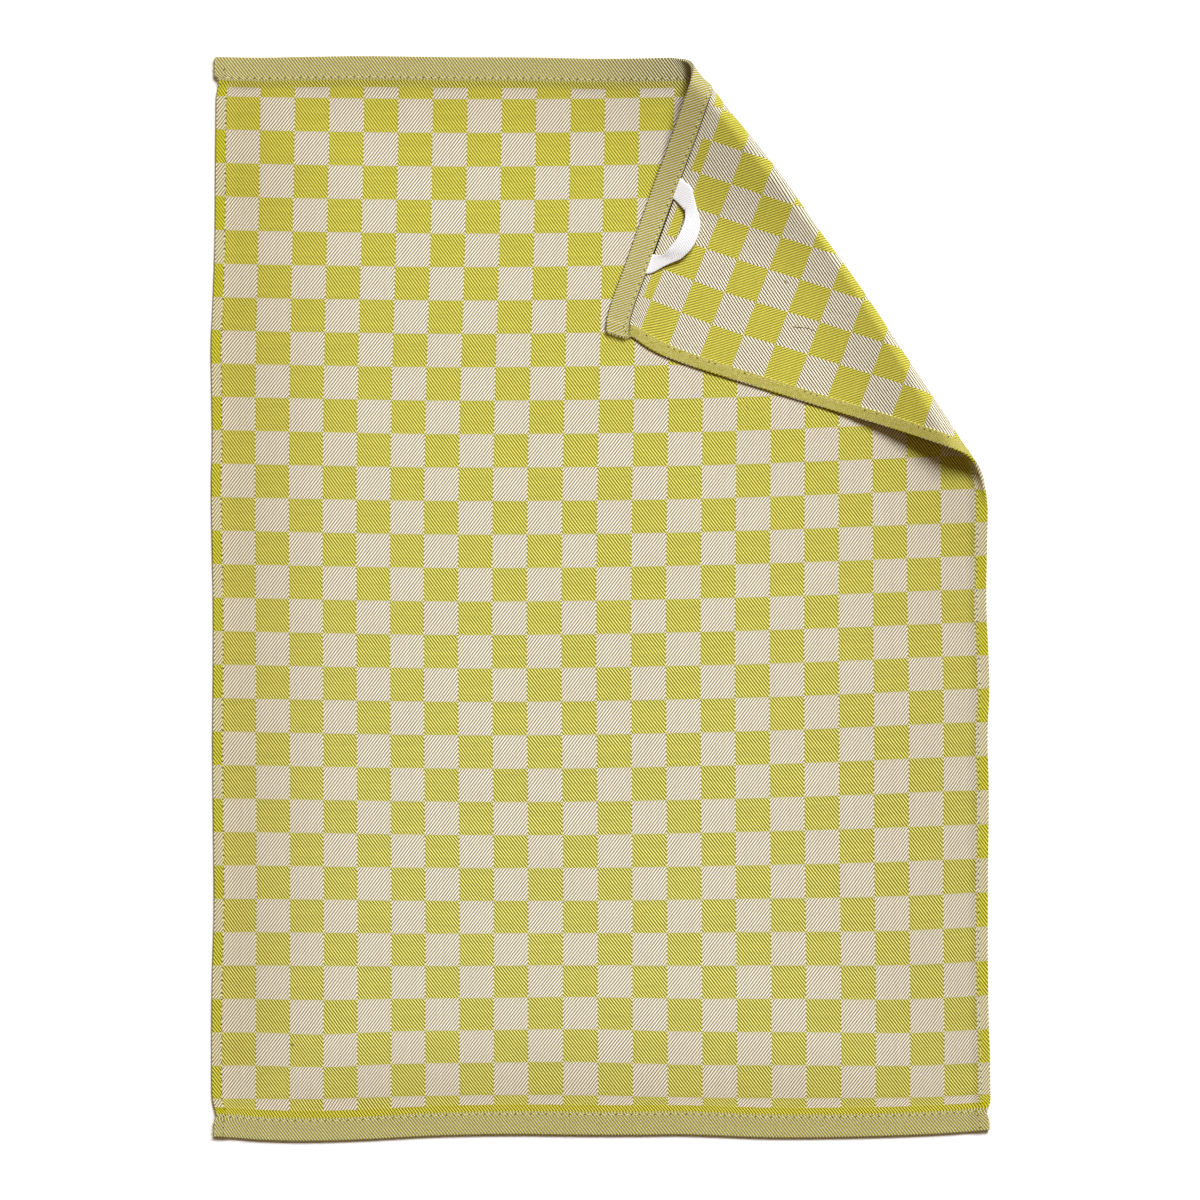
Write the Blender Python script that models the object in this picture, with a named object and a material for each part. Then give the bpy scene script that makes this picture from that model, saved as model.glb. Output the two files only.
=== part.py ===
"""Tea towel lying face up, its top right corner folded over to the front.

The towel is one rectangle of cotton with a narrow hem down each long side and a wider hem
across each end. A short loop of white tape, for hanging it up, is sewn under one end hem.

Lengths are millimetres until the meshes are made. A place on the flat towel is (across, down):
across from its left side, down from its top end. A lying place is (x, y, z), with x to the
right, y towards the top end and z up, and the origin on the surface under the middle.
"""

import math

import bmesh
import bpy
import numpy as np

MM = 0.001

# ---- The hemmed towel, laid flat -----------------------------------------------------------
WIDTH = 498.4
LENGTH = 694.4
CLOTH = 1.0
SIDE_HEM = 8.0
END_HEM = 15.0
HEM_THICKNESS = 2.6
CORNER_THICKNESS = 3.6
HEM_STEP = 0.7

# ---- How it lies: pulled a little off the square -----------------------------------------
# Rows go down the towel at PULL_DOWN, columns go across it at PULL_ACROSS.
PULL_ACROSS = (0.0, 168.0, 338.0, 498.0)
PULL_DOWN = (0.0, 230.0, 460.0, 694.0)
PULL_X = (
    (1.3, 2.8, 4.8, 3.8),
    (-1.7, -2.7, -0.7, -0.2),
    (-0.7, -3.2, -0.7, -0.2),
    (-1.2, -2.2, 0.8, 1.8),
)
PULL_Y = (
    (1.5, -0.5, 1.5, 7.0),
    (0.0, -2.5, 0.5, 5.5),
    (-2.0, -4.0, -2.0, 3.0),
    (-3.5, -0.8, -3.0, 0.3),
)
# The folded corner itself is drawn in a little more.
CORNER_DRAW_X = 3.0
CORNER_DRAW_Y = 4.5
CORNER_REACH = 45.0
# The lying towel's top left corner, before any pull, from the origin under its middle.
LEFT = -249.2
TOP = 348.5

# ---- The fold ------------------------------------------------------------------------------
# It runs down to the right from a point on the top end. Along it the cloth lifts off early or
# late, and rolls over in a tight or an open turn.
FOLD_START = (58.0, 348.5)
FOLD_SLOPE = math.radians(54.2)
FOLD_ALONG = (0.0, 70.0, 140.0, 210.0, 280.0, 340.0)
LIFT_OFF = (-11.5, -5.5, -2.5, -4.5, -10.0, -16.0)
ROLL_RADIUS = (10.0, 6.3, 3.7, 4.5, 8.0, 11.7)
COMING_DOWN = math.radians(18.0)
FLAP_REST = 2.8

# ---- The mesh's own spacing ------------------------------------------------------------------
COARSE = 44.0
FINE = 22.0
FINE_FROM_ACROSS = 250.0
FINE_TO_DOWN = 367.0
ROLL_CUTS = 9
DESCENT_CUTS = 4
SLIVER = 0.06

# ---- The hanging loop ------------------------------------------------------------------------
TAPE = 1.0
TAPE_GAP = 0.4
# Places on the flat towel of the tape's outer and inner edge, and how far each edge rises.
LOOP = (
    ((386.9, 16.2), (401.4, 16.2), 0.0, 0.0),
    ((389.4, 21.5), (403.9, 21.0), 0.3, 0.3),
    ((392.4, 27.0), (406.9, 25.8), 1.2, 1.2),
    ((400.4, 32.5), (409.4, 26.8), 3.0, 2.6),
    ((409.4, 37.4), (413.9, 27.8), 4.6, 4.4),
    ((419.4, 39.4), (418.9, 27.9), 5.4, 5.4),
    ((428.9, 38.4), (425.4, 27.0), 5.1, 5.3),
    ((436.4, 35.0), (431.4, 24.8), 3.7, 4.1),
    ((444.4, 27.0), (436.7, 22.0), 1.8, 2.1),
    ((448.9, 21.8), (438.2, 18.8), 0.5, 0.5),
    ((452.9, 16.2), (438.9, 16.2), 0.0, 0.0),
)
LOOP_SMOOTHING = 2


def station_weights(stations, at):
    """One row per place in `at`: how much each station counts there, on a smooth curve."""
    stations = np.asarray(stations, float)
    at = np.atleast_1d(np.asarray(at, float))
    last = len(stations) - 1
    before = np.clip(np.searchsorted(stations, at) - 1, 0, last - 1)
    gap = stations[before + 1] - stations[before]
    share = np.clip((at - stations[before]) / gap, 0.0, 1.0)
    weights = np.zeros((len(at), len(stations)))
    rows = np.arange(len(at))
    np.add.at(weights, (rows, before), 2 * share**3 - 3 * share**2 + 1)
    np.add.at(weights, (rows, before + 1), 3 * share**2 - 2 * share**3)
    leaving = (share**3 - 2 * share**2 + share) * gap
    arriving = (share**3 - share**2) * gap
    for station, pull in ((before, leaving), (before + 1, arriving)):
        low = np.maximum(station - 1, 0)
        high = np.minimum(station + 1, last)
        slope = pull / (stations[high] - stations[low])
        np.add.at(weights, (rows, high), slope)
        np.add.at(weights, (rows, low), -slope)
    return weights


def along(stations, values, at):
    """Values at the places `at`, on a smooth curve through the stations."""
    return station_weights(stations, at) @ np.asarray(values, float)


def lie_down(flat):
    """The (x, y) of places on the flat towel, before the corner is folded over."""
    across, down = flat[:, 0], flat[:, 1]
    by_column = station_weights(PULL_ACROSS, across)
    by_row = station_weights(PULL_DOWN, down)
    pull_x = np.einsum("nc,nr,rc->n", by_column, by_row, np.array(PULL_X))
    pull_y = np.einsum("nc,nr,rc->n", by_column, by_row, np.array(PULL_Y))
    from_corner = np.hypot(WIDTH - across, down)
    drawn = np.exp(-((from_corner / CORNER_REACH) ** 2))
    x = LEFT + across + pull_x - CORNER_DRAW_X * drawn
    y = TOP - down + pull_y - CORNER_DRAW_Y * drawn
    return np.stack([x, y], axis=1)


def beside_fold(flat):
    """Each place's distance along the fold, past its lift-off, and the turn's sizes there."""
    along_fold = np.array([math.cos(FOLD_SLOPE), -math.sin(FOLD_SLOPE)])
    past_fold = np.array([math.sin(FOLD_SLOPE), math.cos(FOLD_SLOPE)])
    from_start = lie_down(flat) - np.array(FOLD_START)
    distance = from_start @ along_fold
    station = np.clip(distance, FOLD_ALONG[0], FOLD_ALONG[-1])
    lift_off = along(FOLD_ALONG, LIFT_OFF, station)
    radius = along(FOLD_ALONG, ROLL_RADIUS, station)
    past = from_start @ past_fold - lift_off
    roll = radius * (math.pi + COMING_DOWN)
    drop = radius * (1 + math.cos(COMING_DOWN)) - FLAP_REST
    bend_back = drop / (1 - math.cos(COMING_DOWN))
    return distance, lift_off, radius, past, roll, bend_back


def fold_over(flat):
    """The middle of the cloth at each place, the cloth's slope there, and how far it is turned.

    The cloth runs flat, rolls over by a little more than half a turn, comes down on the other
    side and bends back to lie flat above itself.
    """
    distance, lift_off, radius, past, roll, bend_back = beside_fold(flat)
    descent = bend_back * COMING_DOWN
    in_roll = np.clip(past, 0.0, roll)
    in_descent = np.clip(past - roll, 0.0, descent)
    beyond = np.clip(past - roll - descent, 0.0, None)
    slope = in_roll / radius - in_descent / bend_back
    coming = in_descent > 0
    sine_down = np.sin(math.pi + COMING_DOWN - in_descent / bend_back) + math.sin(COMING_DOWN)
    cosine_down = np.cos(math.pi + COMING_DOWN - in_descent / bend_back) + math.cos(COMING_DOWN)
    reach = np.minimum(past, 0.0) + radius * np.sin(in_roll / radius) - beyond
    reach = reach - np.where(coming, bend_back * sine_down, 0.0)
    height = radius * (1 - np.cos(in_roll / radius))
    height = height + np.where(coming, bend_back * cosine_down, 0.0)
    x = FOLD_START[0] + distance * math.cos(FOLD_SLOPE) + (reach + lift_off) * math.sin(FOLD_SLOPE)
    y = FOLD_START[1] - distance * math.sin(FOLD_SLOPE) + (reach + lift_off) * math.cos(FOLD_SLOPE)
    place = np.stack([x, y, height + CLOTH / 2], axis=1)
    turned = np.clip(past / roll, 0.0, 1.0)
    return place, slope, turned * turned * (3 - 2 * turned)


def face_normals(slope):
    """The way the cloth's face looks, where it has this slope."""
    level = -np.sin(slope)
    return np.stack([level * math.sin(FOLD_SLOPE), level * math.cos(FOLD_SLOPE), np.cos(slope)], axis=1)


def thickness(flat):
    """One layer in the field, three in a hem, more where a side hem runs into an end hem."""
    from_side = np.minimum(flat[:, 0], WIDTH - flat[:, 0])
    from_end = np.minimum(flat[:, 1], LENGTH - flat[:, 1])
    side = 1 - np.clip((from_side - SIDE_HEM) / HEM_STEP, 0.0, 1.0)
    end = 1 - np.clip((from_end - END_HEM) / HEM_STEP, 0.0, 1.0)
    hem = (HEM_THICKNESS - CLOTH) * np.maximum(side, end)
    return CLOTH + hem + (CORNER_THICKNESS - HEM_THICKNESS) * side * end


def cloth_sides(flat):
    """The face and the back of the cloth. A hem's extra layers stand up on whichever is on top."""
    place, slope, turned = fold_over(flat)
    normal = face_normals(slope)
    extra = thickness(flat) - CLOTH
    face = place + normal * (CLOTH / 2 + (1 - turned) * extra)[:, None]
    back = place - normal * (CLOTH / 2 + turned * extra)[:, None]
    return face, back


def spaced(low, high, step):
    """Evenly spaced values from low to high, about a step apart."""
    return np.linspace(low, high, max(int(round((high - low) / step)), 1) + 1)


def grid_lines(size, hem, fine_low, fine_high):
    """Where the blank's mesh lines go: on the edges, the hems' steps, and closer by the fold."""
    field_low, field_high = hem + HEM_STEP, size - hem - HEM_STEP
    fine_low, fine_high = max(fine_low, field_low), min(fine_high, field_high)
    lines = [0.0, hem, size - hem, size]
    lines += list(spaced(fine_low, fine_high, FINE))
    if fine_low > field_low:
        lines += list(spaced(field_low, fine_low, COARSE))
    if fine_high < field_high:
        lines += list(spaced(fine_high, field_high, COARSE))
    return sorted(set(round(line, 6) for line in lines))


def flat_blank():
    """A sheet of quads whose vertices hold (across, down) of the flat towel."""
    across = grid_lines(WIDTH, SIDE_HEM, FINE_FROM_ACROSS, WIDTH)
    down = grid_lines(LENGTH, END_HEM, 0.0, FINE_TO_DOWN)
    sheet = bmesh.new()
    rows = [[sheet.verts.new((u, v, 0.0)) for u in across] for v in down]
    for upper, lower in zip(rows, rows[1:]):
        for i in range(len(across) - 1):
            sheet.faces.new((lower[i], lower[i + 1], upper[i + 1], upper[i]))
    return sheet


def turn_levels(flat):
    """0 to 1 through the roll, 1 to 2 through the way down."""
    _, _, _, past, roll, bend_back = beside_fold(flat)
    descent = bend_back * COMING_DOWN
    return np.where(past < roll, past / roll, 1 + (past - roll) / descent)


def cut_along_level(sheet, level):
    """Split the sheet's faces where the fold has turned by this much."""
    verts = list(sheet.verts)
    side = turn_levels(np.array([v.co[:2] for v in verts])) - level
    above = {vert: value for vert, value in zip(verts, side)}
    cut = [vert for vert in verts if abs(above[vert]) < SLIVER / FINE]
    for edge in list(sheet.edges):
        first, second = edge.verts
        if first in cut or second in cut or above[first] * above[second] > 0:
            continue
        share = above[first] / (above[first] - above[second])
        cut.append(bmesh.utils.edge_split(edge, first, share)[1])
    bmesh.ops.connect_verts(sheet, verts=cut)


def towel_mesh():
    """Cut the blank along the fold, carry both its sides over, and close them with a wall."""
    sheet = flat_blank()
    levels = list(np.linspace(0.0, 1.0, ROLL_CUTS))
    levels += list(np.linspace(1.0, 2.0, DESCENT_CUTS + 1)[1:])
    for level in levels:
        cut_along_level(sheet, level)
    bmesh.ops.remove_doubles(sheet, verts=sheet.verts, dist=SLIVER)
    bmesh.ops.triangulate(sheet, faces=sheet.faces)
    sheet.verts.index_update()
    flat = np.array([v.co[:2] for v in sheet.verts])
    face, back = cloth_sides(flat)
    count = len(flat)
    points = np.concatenate([face, back]) * MM
    faces = [[v.index for v in f.verts] for f in sheet.faces]
    faces += [[v.index + count for v in reversed(f.verts)] for f in sheet.faces]
    for edge in sheet.edges:
        if edge.is_boundary:
            loop = edge.link_loops[0]
            start, end = loop.vert.index, loop.link_loop_next.vert.index
            faces.append([start, start + count, end])
            faces.append([end, start + count, end + count])
    sheet.free()
    return points, faces


def loop_mesh():
    """A flat tape that leaves the end hem, arches over the cloth's back and goes in again."""
    stations = np.arange(len(LOOP))
    at = np.linspace(0, len(LOOP) - 1, (len(LOOP) - 1) * LOOP_SMOOTHING + 1)
    outer = along(stations, [row[0] for row in LOOP], at)
    inner = along(stations, [row[1] for row in LOOP], at)
    rises = along(stations, [row[2:] for row in LOOP], at)
    corners = []
    for edge, rise in ((outer, rises[:, 0]), (inner, rises[:, 1])):
        place, slope, _ = fold_over(edge)
        back_normal = -face_normals(slope)
        low = CLOTH / 2 + TAPE_GAP + rise
        corners.append(place + back_normal * low[:, None])
        corners.append(place + back_normal * (low + TAPE)[:, None])
    rings = np.stack([corners[0], corners[1], corners[3], corners[2]], axis=1)
    points = rings.reshape(-1, 3) * MM
    sides = 4
    faces = []
    for ring in range(len(at) - 1):
        for side in range(sides):
            here, beside = ring * sides + side, ring * sides + (side + 1) % sides
            faces.append([here, beside, beside + sides, here + sides])
    end = (len(at) - 1) * sides
    faces.append([3, 2, 1, 0])
    faces.append([end, end + 1, end + 2, end + 3])
    return points, faces


def cloth_material(name, colour, roughness):
    """A plain matt cloth."""
    material = bpy.data.materials.new(name)
    material.use_nodes = True
    shader = material.node_tree.nodes["Principled BSDF"]
    shader.inputs["Base Color"].default_value = (*colour, 1.0)
    shader.inputs["Roughness"].default_value = roughness
    shader.inputs["Metallic"].default_value = 0.0
    return material


def add_piece(name, points, faces, material):
    """One named object, with its faces outwards and its creases kept sharp."""
    mesh = bpy.data.meshes.new(name)
    mesh.from_pydata(points.tolist(), [], faces)
    body = bmesh.new()
    body.from_mesh(mesh)
    bmesh.ops.triangulate(body, faces=[f for f in body.faces if len(f.verts) > 3])
    bmesh.ops.recalc_face_normals(body, faces=body.faces)
    body.to_mesh(mesh)
    body.free()
    mesh.materials.append(material)
    mesh.shade_smooth()
    mesh.set_sharp_from_angle(angle=math.radians(40.0))
    piece = bpy.data.objects.new(name, mesh)
    bpy.context.scene.collection.objects.link(piece)
    return piece


def main():
    for thing in list(bpy.data.objects):
        bpy.data.objects.remove(thing, do_unlink=True)
    check_cotton = cloth_material("check_cotton", (0.55, 0.50, 0.19), 0.9)
    white_tape = cloth_material("white_tape", (0.90, 0.90, 0.89), 0.85)
    add_piece("towel", *towel_mesh(), check_cotton)
    add_piece("hanging_loop", *loop_mesh(), white_tape)


main()
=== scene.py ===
# %% [markdown]
# # A checked cotton tea towel, one corner folded over
#
# The towel lies face up on a white table and its top right corner is folded to the front, so we
# see three things at once: the face, the back with its colours swapped, and the white hanging
# loop that is sewn under the hem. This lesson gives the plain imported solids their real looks. It
# makes the cloth as one fine mesh with true hems, weaves it in a shader, and sews it with
# Geometry Nodes.

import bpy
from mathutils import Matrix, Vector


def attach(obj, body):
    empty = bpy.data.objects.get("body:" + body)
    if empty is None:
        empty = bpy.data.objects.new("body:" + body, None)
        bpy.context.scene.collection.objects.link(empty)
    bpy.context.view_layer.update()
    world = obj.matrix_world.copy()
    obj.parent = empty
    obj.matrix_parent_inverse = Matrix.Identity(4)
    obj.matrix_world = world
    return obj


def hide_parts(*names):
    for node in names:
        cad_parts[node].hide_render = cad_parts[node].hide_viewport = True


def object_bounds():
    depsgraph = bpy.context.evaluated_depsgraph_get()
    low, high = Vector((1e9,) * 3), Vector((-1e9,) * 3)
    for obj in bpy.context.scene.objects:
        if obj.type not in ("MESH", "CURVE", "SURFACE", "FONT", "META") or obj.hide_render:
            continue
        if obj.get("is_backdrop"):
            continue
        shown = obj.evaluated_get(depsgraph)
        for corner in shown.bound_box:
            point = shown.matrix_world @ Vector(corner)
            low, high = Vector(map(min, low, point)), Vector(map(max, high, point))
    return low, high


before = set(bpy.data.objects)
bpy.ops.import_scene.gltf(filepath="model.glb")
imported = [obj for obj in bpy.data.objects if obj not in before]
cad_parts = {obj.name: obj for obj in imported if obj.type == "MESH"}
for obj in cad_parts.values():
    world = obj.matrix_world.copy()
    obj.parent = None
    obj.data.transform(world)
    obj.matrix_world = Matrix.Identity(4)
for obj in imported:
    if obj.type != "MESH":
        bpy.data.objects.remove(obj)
cad_low, cad_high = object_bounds()
print("solids:", sorted(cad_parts), "box:", tuple(cad_low), tuple(cad_high))

# %% Modules
import math
from types import SimpleNamespace

import bmesh
import bpy
import numpy as np

# %% [markdown]
# ## The towel's own sizes
#
# Like its maker, we think of the towel laid flat: every place on it is (across, down), counted
# in millimetres from its top left corner. Hems, checks, stitches and the loop are all simple
# there. Two functions then carry any flat place to where it lies in the photo.

# %% Sizes of the hemmed cloth, in millimetres
MM = 0.001
WIDTH = 498.4
LENGTH = 694.4
CLOTH = 1.0
SIDE_HEM = 8.0
END_HEM = 15.0
# How much thicker a hem is than the single cloth, and how much more where two hems cross.
HEM_EXTRA = 1.6
CORNER_EXTRA = 1.0
print("flat towel:", WIDTH, "x", LENGTH, "mm")

# %% [markdown]
# ## How it lies
#
# A towel never lies quite square. A small table gives how far each part of it is pulled aside,
# and a smooth curve fills in between. The fold is then a roll: the cloth lifts off the table,
# turns over by a little more than half a turn, comes down and bends back to lie flat. Bending
# keeps every length, so the checks stay the right size on the folded part.

# %% Curves through a few stations
def station_weights(stations, at):
    """One row per place in `at`: how much each station counts there, on a smooth curve."""
    stations = np.asarray(stations, float)
    at = np.atleast_1d(np.asarray(at, float))
    last = len(stations) - 1
    before = np.clip(np.searchsorted(stations, at) - 1, 0, last - 1)
    gap = stations[before + 1] - stations[before]
    share = np.clip((at - stations[before]) / gap, 0.0, 1.0)
    weights = np.zeros((len(at), len(stations)))
    rows = np.arange(len(at))
    np.add.at(weights, (rows, before), 2 * share**3 - 3 * share**2 + 1)
    np.add.at(weights, (rows, before + 1), 3 * share**2 - 2 * share**3)
    leaving = (share**3 - 2 * share**2 + share) * gap
    arriving = (share**3 - share**2) * gap
    for station, pull in ((before, leaving), (before + 1, arriving)):
        low = np.maximum(station - 1, 0)
        high = np.minimum(station + 1, last)
        slope = pull / (stations[high] - stations[low])
        np.add.at(weights, (rows, high), slope)
        np.add.at(weights, (rows, low), -slope)
    return weights


def along(stations, values, at):
    """Values at the places `at`, on a smooth curve through the stations."""
    return station_weights(stations, at) @ np.asarray(values, float)


def along_in(stations, values, at):
    """The same, with the first and the last station's value kept beyond them."""
    return along(stations, values, np.clip(at, stations[0], stations[-1]))


def ramp(value, low, high):
    """0 below low, 1 above high, and smooth between them."""
    share = np.clip((value - low) / (high - low), 0.0, 1.0)
    return share * share * (3 - 2 * share)


# %% Pulled a little off the square
# How far the cloth is pulled, to the right and upwards: a column for each place across it and a
# row for each place down it.
PULL_ACROSS = (0.0, 168.0, 338.0, 498.0)
PULL_DOWN = (0.0, 230.0, 460.0, 694.0)
PULL_X = (
    (1.3, 2.8, 4.8, 3.8),
    (-1.7, -2.7, -0.7, -0.2),
    (-0.7, -3.2, -0.7, -0.2),
    (-1.2, -2.2, 0.8, 1.8),
)
PULL_Y = (
    (1.5, -0.5, 1.5, 7.0),
    (0.0, -2.5, 0.5, 5.5),
    (-2.0, -4.0, -2.0, 3.0),
    (-3.5, -0.8, -3.0, 0.3),
)
# Where the flat towel's top left corner is on the table.
LEFT = -249.2
TOP = 348.5
# Small tugs: across, down, how far round that it reaches, then how far right and up it pulls.
TUGS = (
    (170.0, 112.0, 100.0, 1.6, -0.4),
    (310.0, 250.0, 95.0, 1.1, -1.1),
    (474.0, 425.0, 65.0, 1.8, 1.2),
    (455.0, 625.0, 65.0, 1.0, -3.0),
    (72.0, 633.0, 35.0, -0.1, -2.1),
    (240.0, 633.0, 50.0, 0.0, 1.4),
    (230.0, 510.0, 85.0, 0.8, -0.8),
    (470.0, 70.0, 45.0, 1.4, 0.5),
    (380.0, 60.0, 40.0, 0.8, 0.2),
    (470.0, 160.0, 45.0, 0.5, -0.3),
    (420.0, 560.0, 60.0, 0.7, -0.9),
    (480.0, 500.0, 60.0, 0.8, -0.1),
    (130.0, 560.0, 60.0, 0.4, -0.6),
    (30.0, 150.0, 50.0, 0.1, -0.6),
    (420.0, 330.0, 60.0, 0.5, -0.1),
    (240.0, 200.0, 60.0, 0.5, 0.3),
    (60.0, 60.0, 50.0, 0.4, -0.4),
    (470.0, 34.0, 24.0, -1.6, 0.3),
)


def lie_down(flat):
    """The (x, y) of places on the flat towel, before the corner is folded over."""
    across, down = flat[:, 0], flat[:, 1]
    by_column = station_weights(PULL_ACROSS, across)
    by_row = station_weights(PULL_DOWN, down)
    tables = (np.array(PULL_X), np.array(PULL_Y))
    pull_x, pull_y = (np.einsum("nc,nr,rc->n", by_column, by_row, table) for table in tables)
    for tug_across, tug_down, reach, right, up in TUGS:
        distance = np.hypot(across - tug_across, down - tug_down)
        share = np.exp(-((distance / reach) ** 2))
        pull_x = pull_x + right * share
        pull_y = pull_y + up * share
    return np.stack([LEFT + across + pull_x, TOP - down + pull_y], axis=1)


print("pulled at", len(PULL_DOWN) * len(PULL_ACROSS), "places, tugged at", len(TUGS))

# %% [markdown]
# An end hem is a soft tube that can roll a little to either side, most of all at its open
# ends, so its edge bows out here and in there. Where it meets the side hem, the sewing draws
# the side in, just before the hem's stiff end stands out again. These few numbers give each
# corner its own nip and each edge its own bows, so that no side of the towel is a ruled line.

# %% Nips, bows and rolls
EDGE_REACH = 20.0
# Each corner has its own numbers, left and right, first for the top and then for the bottom. A
# nip has a depth, a distance from the end, and a reach towards the end and away from it.
NIP = ((1.8, 5.0), (3.0, 2.6))
NIP_AT = ((15.2, 18.0), (12.6, 10.0))
NIP_ENDWARDS = ((2.0, 3.0), (1.8, 2.0))
NIP_INWARDS = ((7.0, 17.0), (9.0, 6.0))
# The hem's end stands out, and that stops at these distances short of the nip.
STAND_OUT = ((1.2, -3.2), (-1.1, -0.7))
STAND_OUT_STOPS = (3.5, 1.0)
WANDER = 0.15
WANDER_WAVES = (47.0, 71.0, 113.0)
# How far each side bows out at places down the towel.
LEFT_BOW_AT = (0, 60, 120, 155, 185, 211, 249, 275, 363, 443, 543, 588, 636, 694)
LEFT_BOW = (0, -0.5, -1.1, -0.4, 0.6, -0.1, -0.7, -0.1, -0.8, 0.1, -0.9, 0.2, 0.3, 0)
RIGHT_BOW_AT = (0, 240, 272, 295, 356, 408, 440, 479, 511, 608, 646, 694)
RIGHT_BOW = (0, 0, -0.7, 0.1, -0.9, -0.1, -1.6, -0.7, -0.8, -1.2, -0.4, -0.2)
# How far each end hem has rolled, upwards in the photo, at places across the towel.
TOP_ROLL_AT = (0, 30, 60, 95, 150, 200, 250, 300, 350, 404, 450, 475, 490, 498.4)
TOP_ROLL = (-1.5, -1.4, -0.3, 0.6, 0.5, 0.2, -1.4, -1.5, -1.0, -0.4, -1.5, -2.1, -3.4, -5.9)
BOTTOM_ROLL_AT = (0, 15, 30, 60, 100, 145, 190, 240, 270, 305, 360, 400, 450, 480, 498.4)
BOTTOM_ROLL = (2.4, 1.3, -0.2, -1.5, -1.3, 0.4, 1.2, 1.3, 2.0, 3.0, 1.2, 1.1, 1.9, 2.6, 3.5)
# The roll fades out between the hem's inner edge and this far from the end.
ROLL_FADES = 30.0


# %% Edges that wander
def waves(place, wavelengths, seed):
    """A few plane waves in seeded directions, from about -1 to 1."""
    chance = np.random.default_rng(seed)
    total = np.zeros(len(place))
    for wavelength in wavelengths:
        angle, start = chance.uniform(0, 2 * math.pi, 2)
        way = np.array([math.cos(angle), math.sin(angle)])
        total += np.sin(2 * math.pi * (place @ way) / wavelength + start)
    return total / len(wavelengths)


def from_edges(flat):
    """How far each place is from the nearer side and from the nearer end."""
    from_side = np.minimum(flat[:, 0], WIDTH - flat[:, 0])
    from_end = np.minimum(flat[:, 1], LENGTH - flat[:, 1])
    return from_side, from_end


def lie_uneven(flat):
    """lie_down, with the corners nipped and the hems rolled."""
    from_side, from_end = from_edges(flat)
    right = (flat[:, 0] > WIDTH / 2).astype(int)
    bottom = (flat[:, 1] > LENGTH / 2).astype(int)
    corners = (NIP, NIP_AT, NIP_ENDWARDS, NIP_INWARDS, STAND_OUT)
    nip, nip_at, endwards, inwards, stand_out = (np.array(c)[bottom, right] for c in corners)
    reach = np.where(from_end < nip_at, endwards, inwards)
    first_stop, last_stop = (nip_at - short for short in STAND_OUT_STOPS)
    out = stand_out * (1 - ramp(from_end, first_stop, last_stop))
    out -= nip * np.exp(-(((from_end - nip_at) / reach) ** 2))
    left_bow = along(LEFT_BOW_AT, LEFT_BOW, flat[:, 1])
    right_bow = along(RIGHT_BOW_AT, RIGHT_BOW, flat[:, 1])
    out += np.where(right, right_bow, left_bow)
    near_side = np.exp(-((from_side / EDGE_REACH) ** 2))
    wander = WANDER * waves(flat, WANDER_WAVES, seed=4)
    top_roll = along(TOP_ROLL_AT, TOP_ROLL, flat[:, 0])
    bottom_roll = along(BOTTOM_ROLL_AT, BOTTOM_ROLL, flat[:, 0])
    in_hem = 1 - ramp(from_end, END_HEM, ROLL_FADES)
    laid = lie_down(flat)
    laid[:, 0] += near_side * (np.where(right, out, -out) + wander)
    laid[:, 1] += in_hem * np.where(bottom, bottom_roll, top_roll)
    return laid


corners = np.array([(u, v) for v in (0.0, LENGTH) for u in (0.0, WIDTH)])
print("corners, before the fold:", lie_uneven(corners).round(1).tolist())

# %% [markdown]
# The fold runs down from the top edge to the right side. Along it the roll has a radius, which
# changes from place to place, and a line where the cloth lifts off. A curve drawn by hand would
# stretch the cloth. Two arcs, one for the roll and one for the way down, can't: we walk along
# them as far as the cloth is long.

# %% The fold
FOLD_START = np.array([58.0, 348.5])
FOLD_SLOPE = math.radians(54.2)
DOWN_FOLD = np.array([math.cos(FOLD_SLOPE), -math.sin(FOLD_SLOPE)])
PAST_FOLD = np.array([math.sin(FOLD_SLOPE), math.cos(FOLD_SLOPE)])
# Places along the fold, and at each where the cloth lifts off and the radius of its roll.
FOLD_AT = (0.0, 70.0, 140.0, 210.0, 280.0, 340.0)
LIFT_OFF = (-11.5, -5.5, -2.5, -4.5, -10.0, -16.0)
ROLL_RADIUS = (10.0, 6.3, 3.7, 4.5, 8.0, 11.7)
# How far past half a turn the roll goes on, and how high the flap then comes to rest.
COMING_DOWN = math.radians(18.0)
FLAP_REST = 1.3
# How far the roll bulges out at places along the fold.
BULGE_AT = (0.0, 14.0, 25.0, 42.0, 91.0, 139.0, 187.0, 233.0, 279.0, 310.0, 340.0)
BULGE = (-1.7, -2.8, -1.2, -1.2, 0.6, 0.0, 0.6, -0.4, -1.0, -1.8, -1.2)


def beside_fold(laid):
    """Each place's distance along the fold, past its lift-off, and the turn's sizes there."""
    from_start = laid - FOLD_START
    distance = from_start @ DOWN_FOLD
    lift_off = along_in(FOLD_AT, LIFT_OFF, distance)
    radius = along_in(FOLD_AT, ROLL_RADIUS, distance)
    past = from_start @ PAST_FOLD - lift_off
    roll = radius * (math.pi + COMING_DOWN)
    drop = radius * (1 + math.cos(COMING_DOWN)) - FLAP_REST
    bend_back = drop / (1 - math.cos(COMING_DOWN))
    return distance, lift_off, radius, past, roll, bend_back


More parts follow.
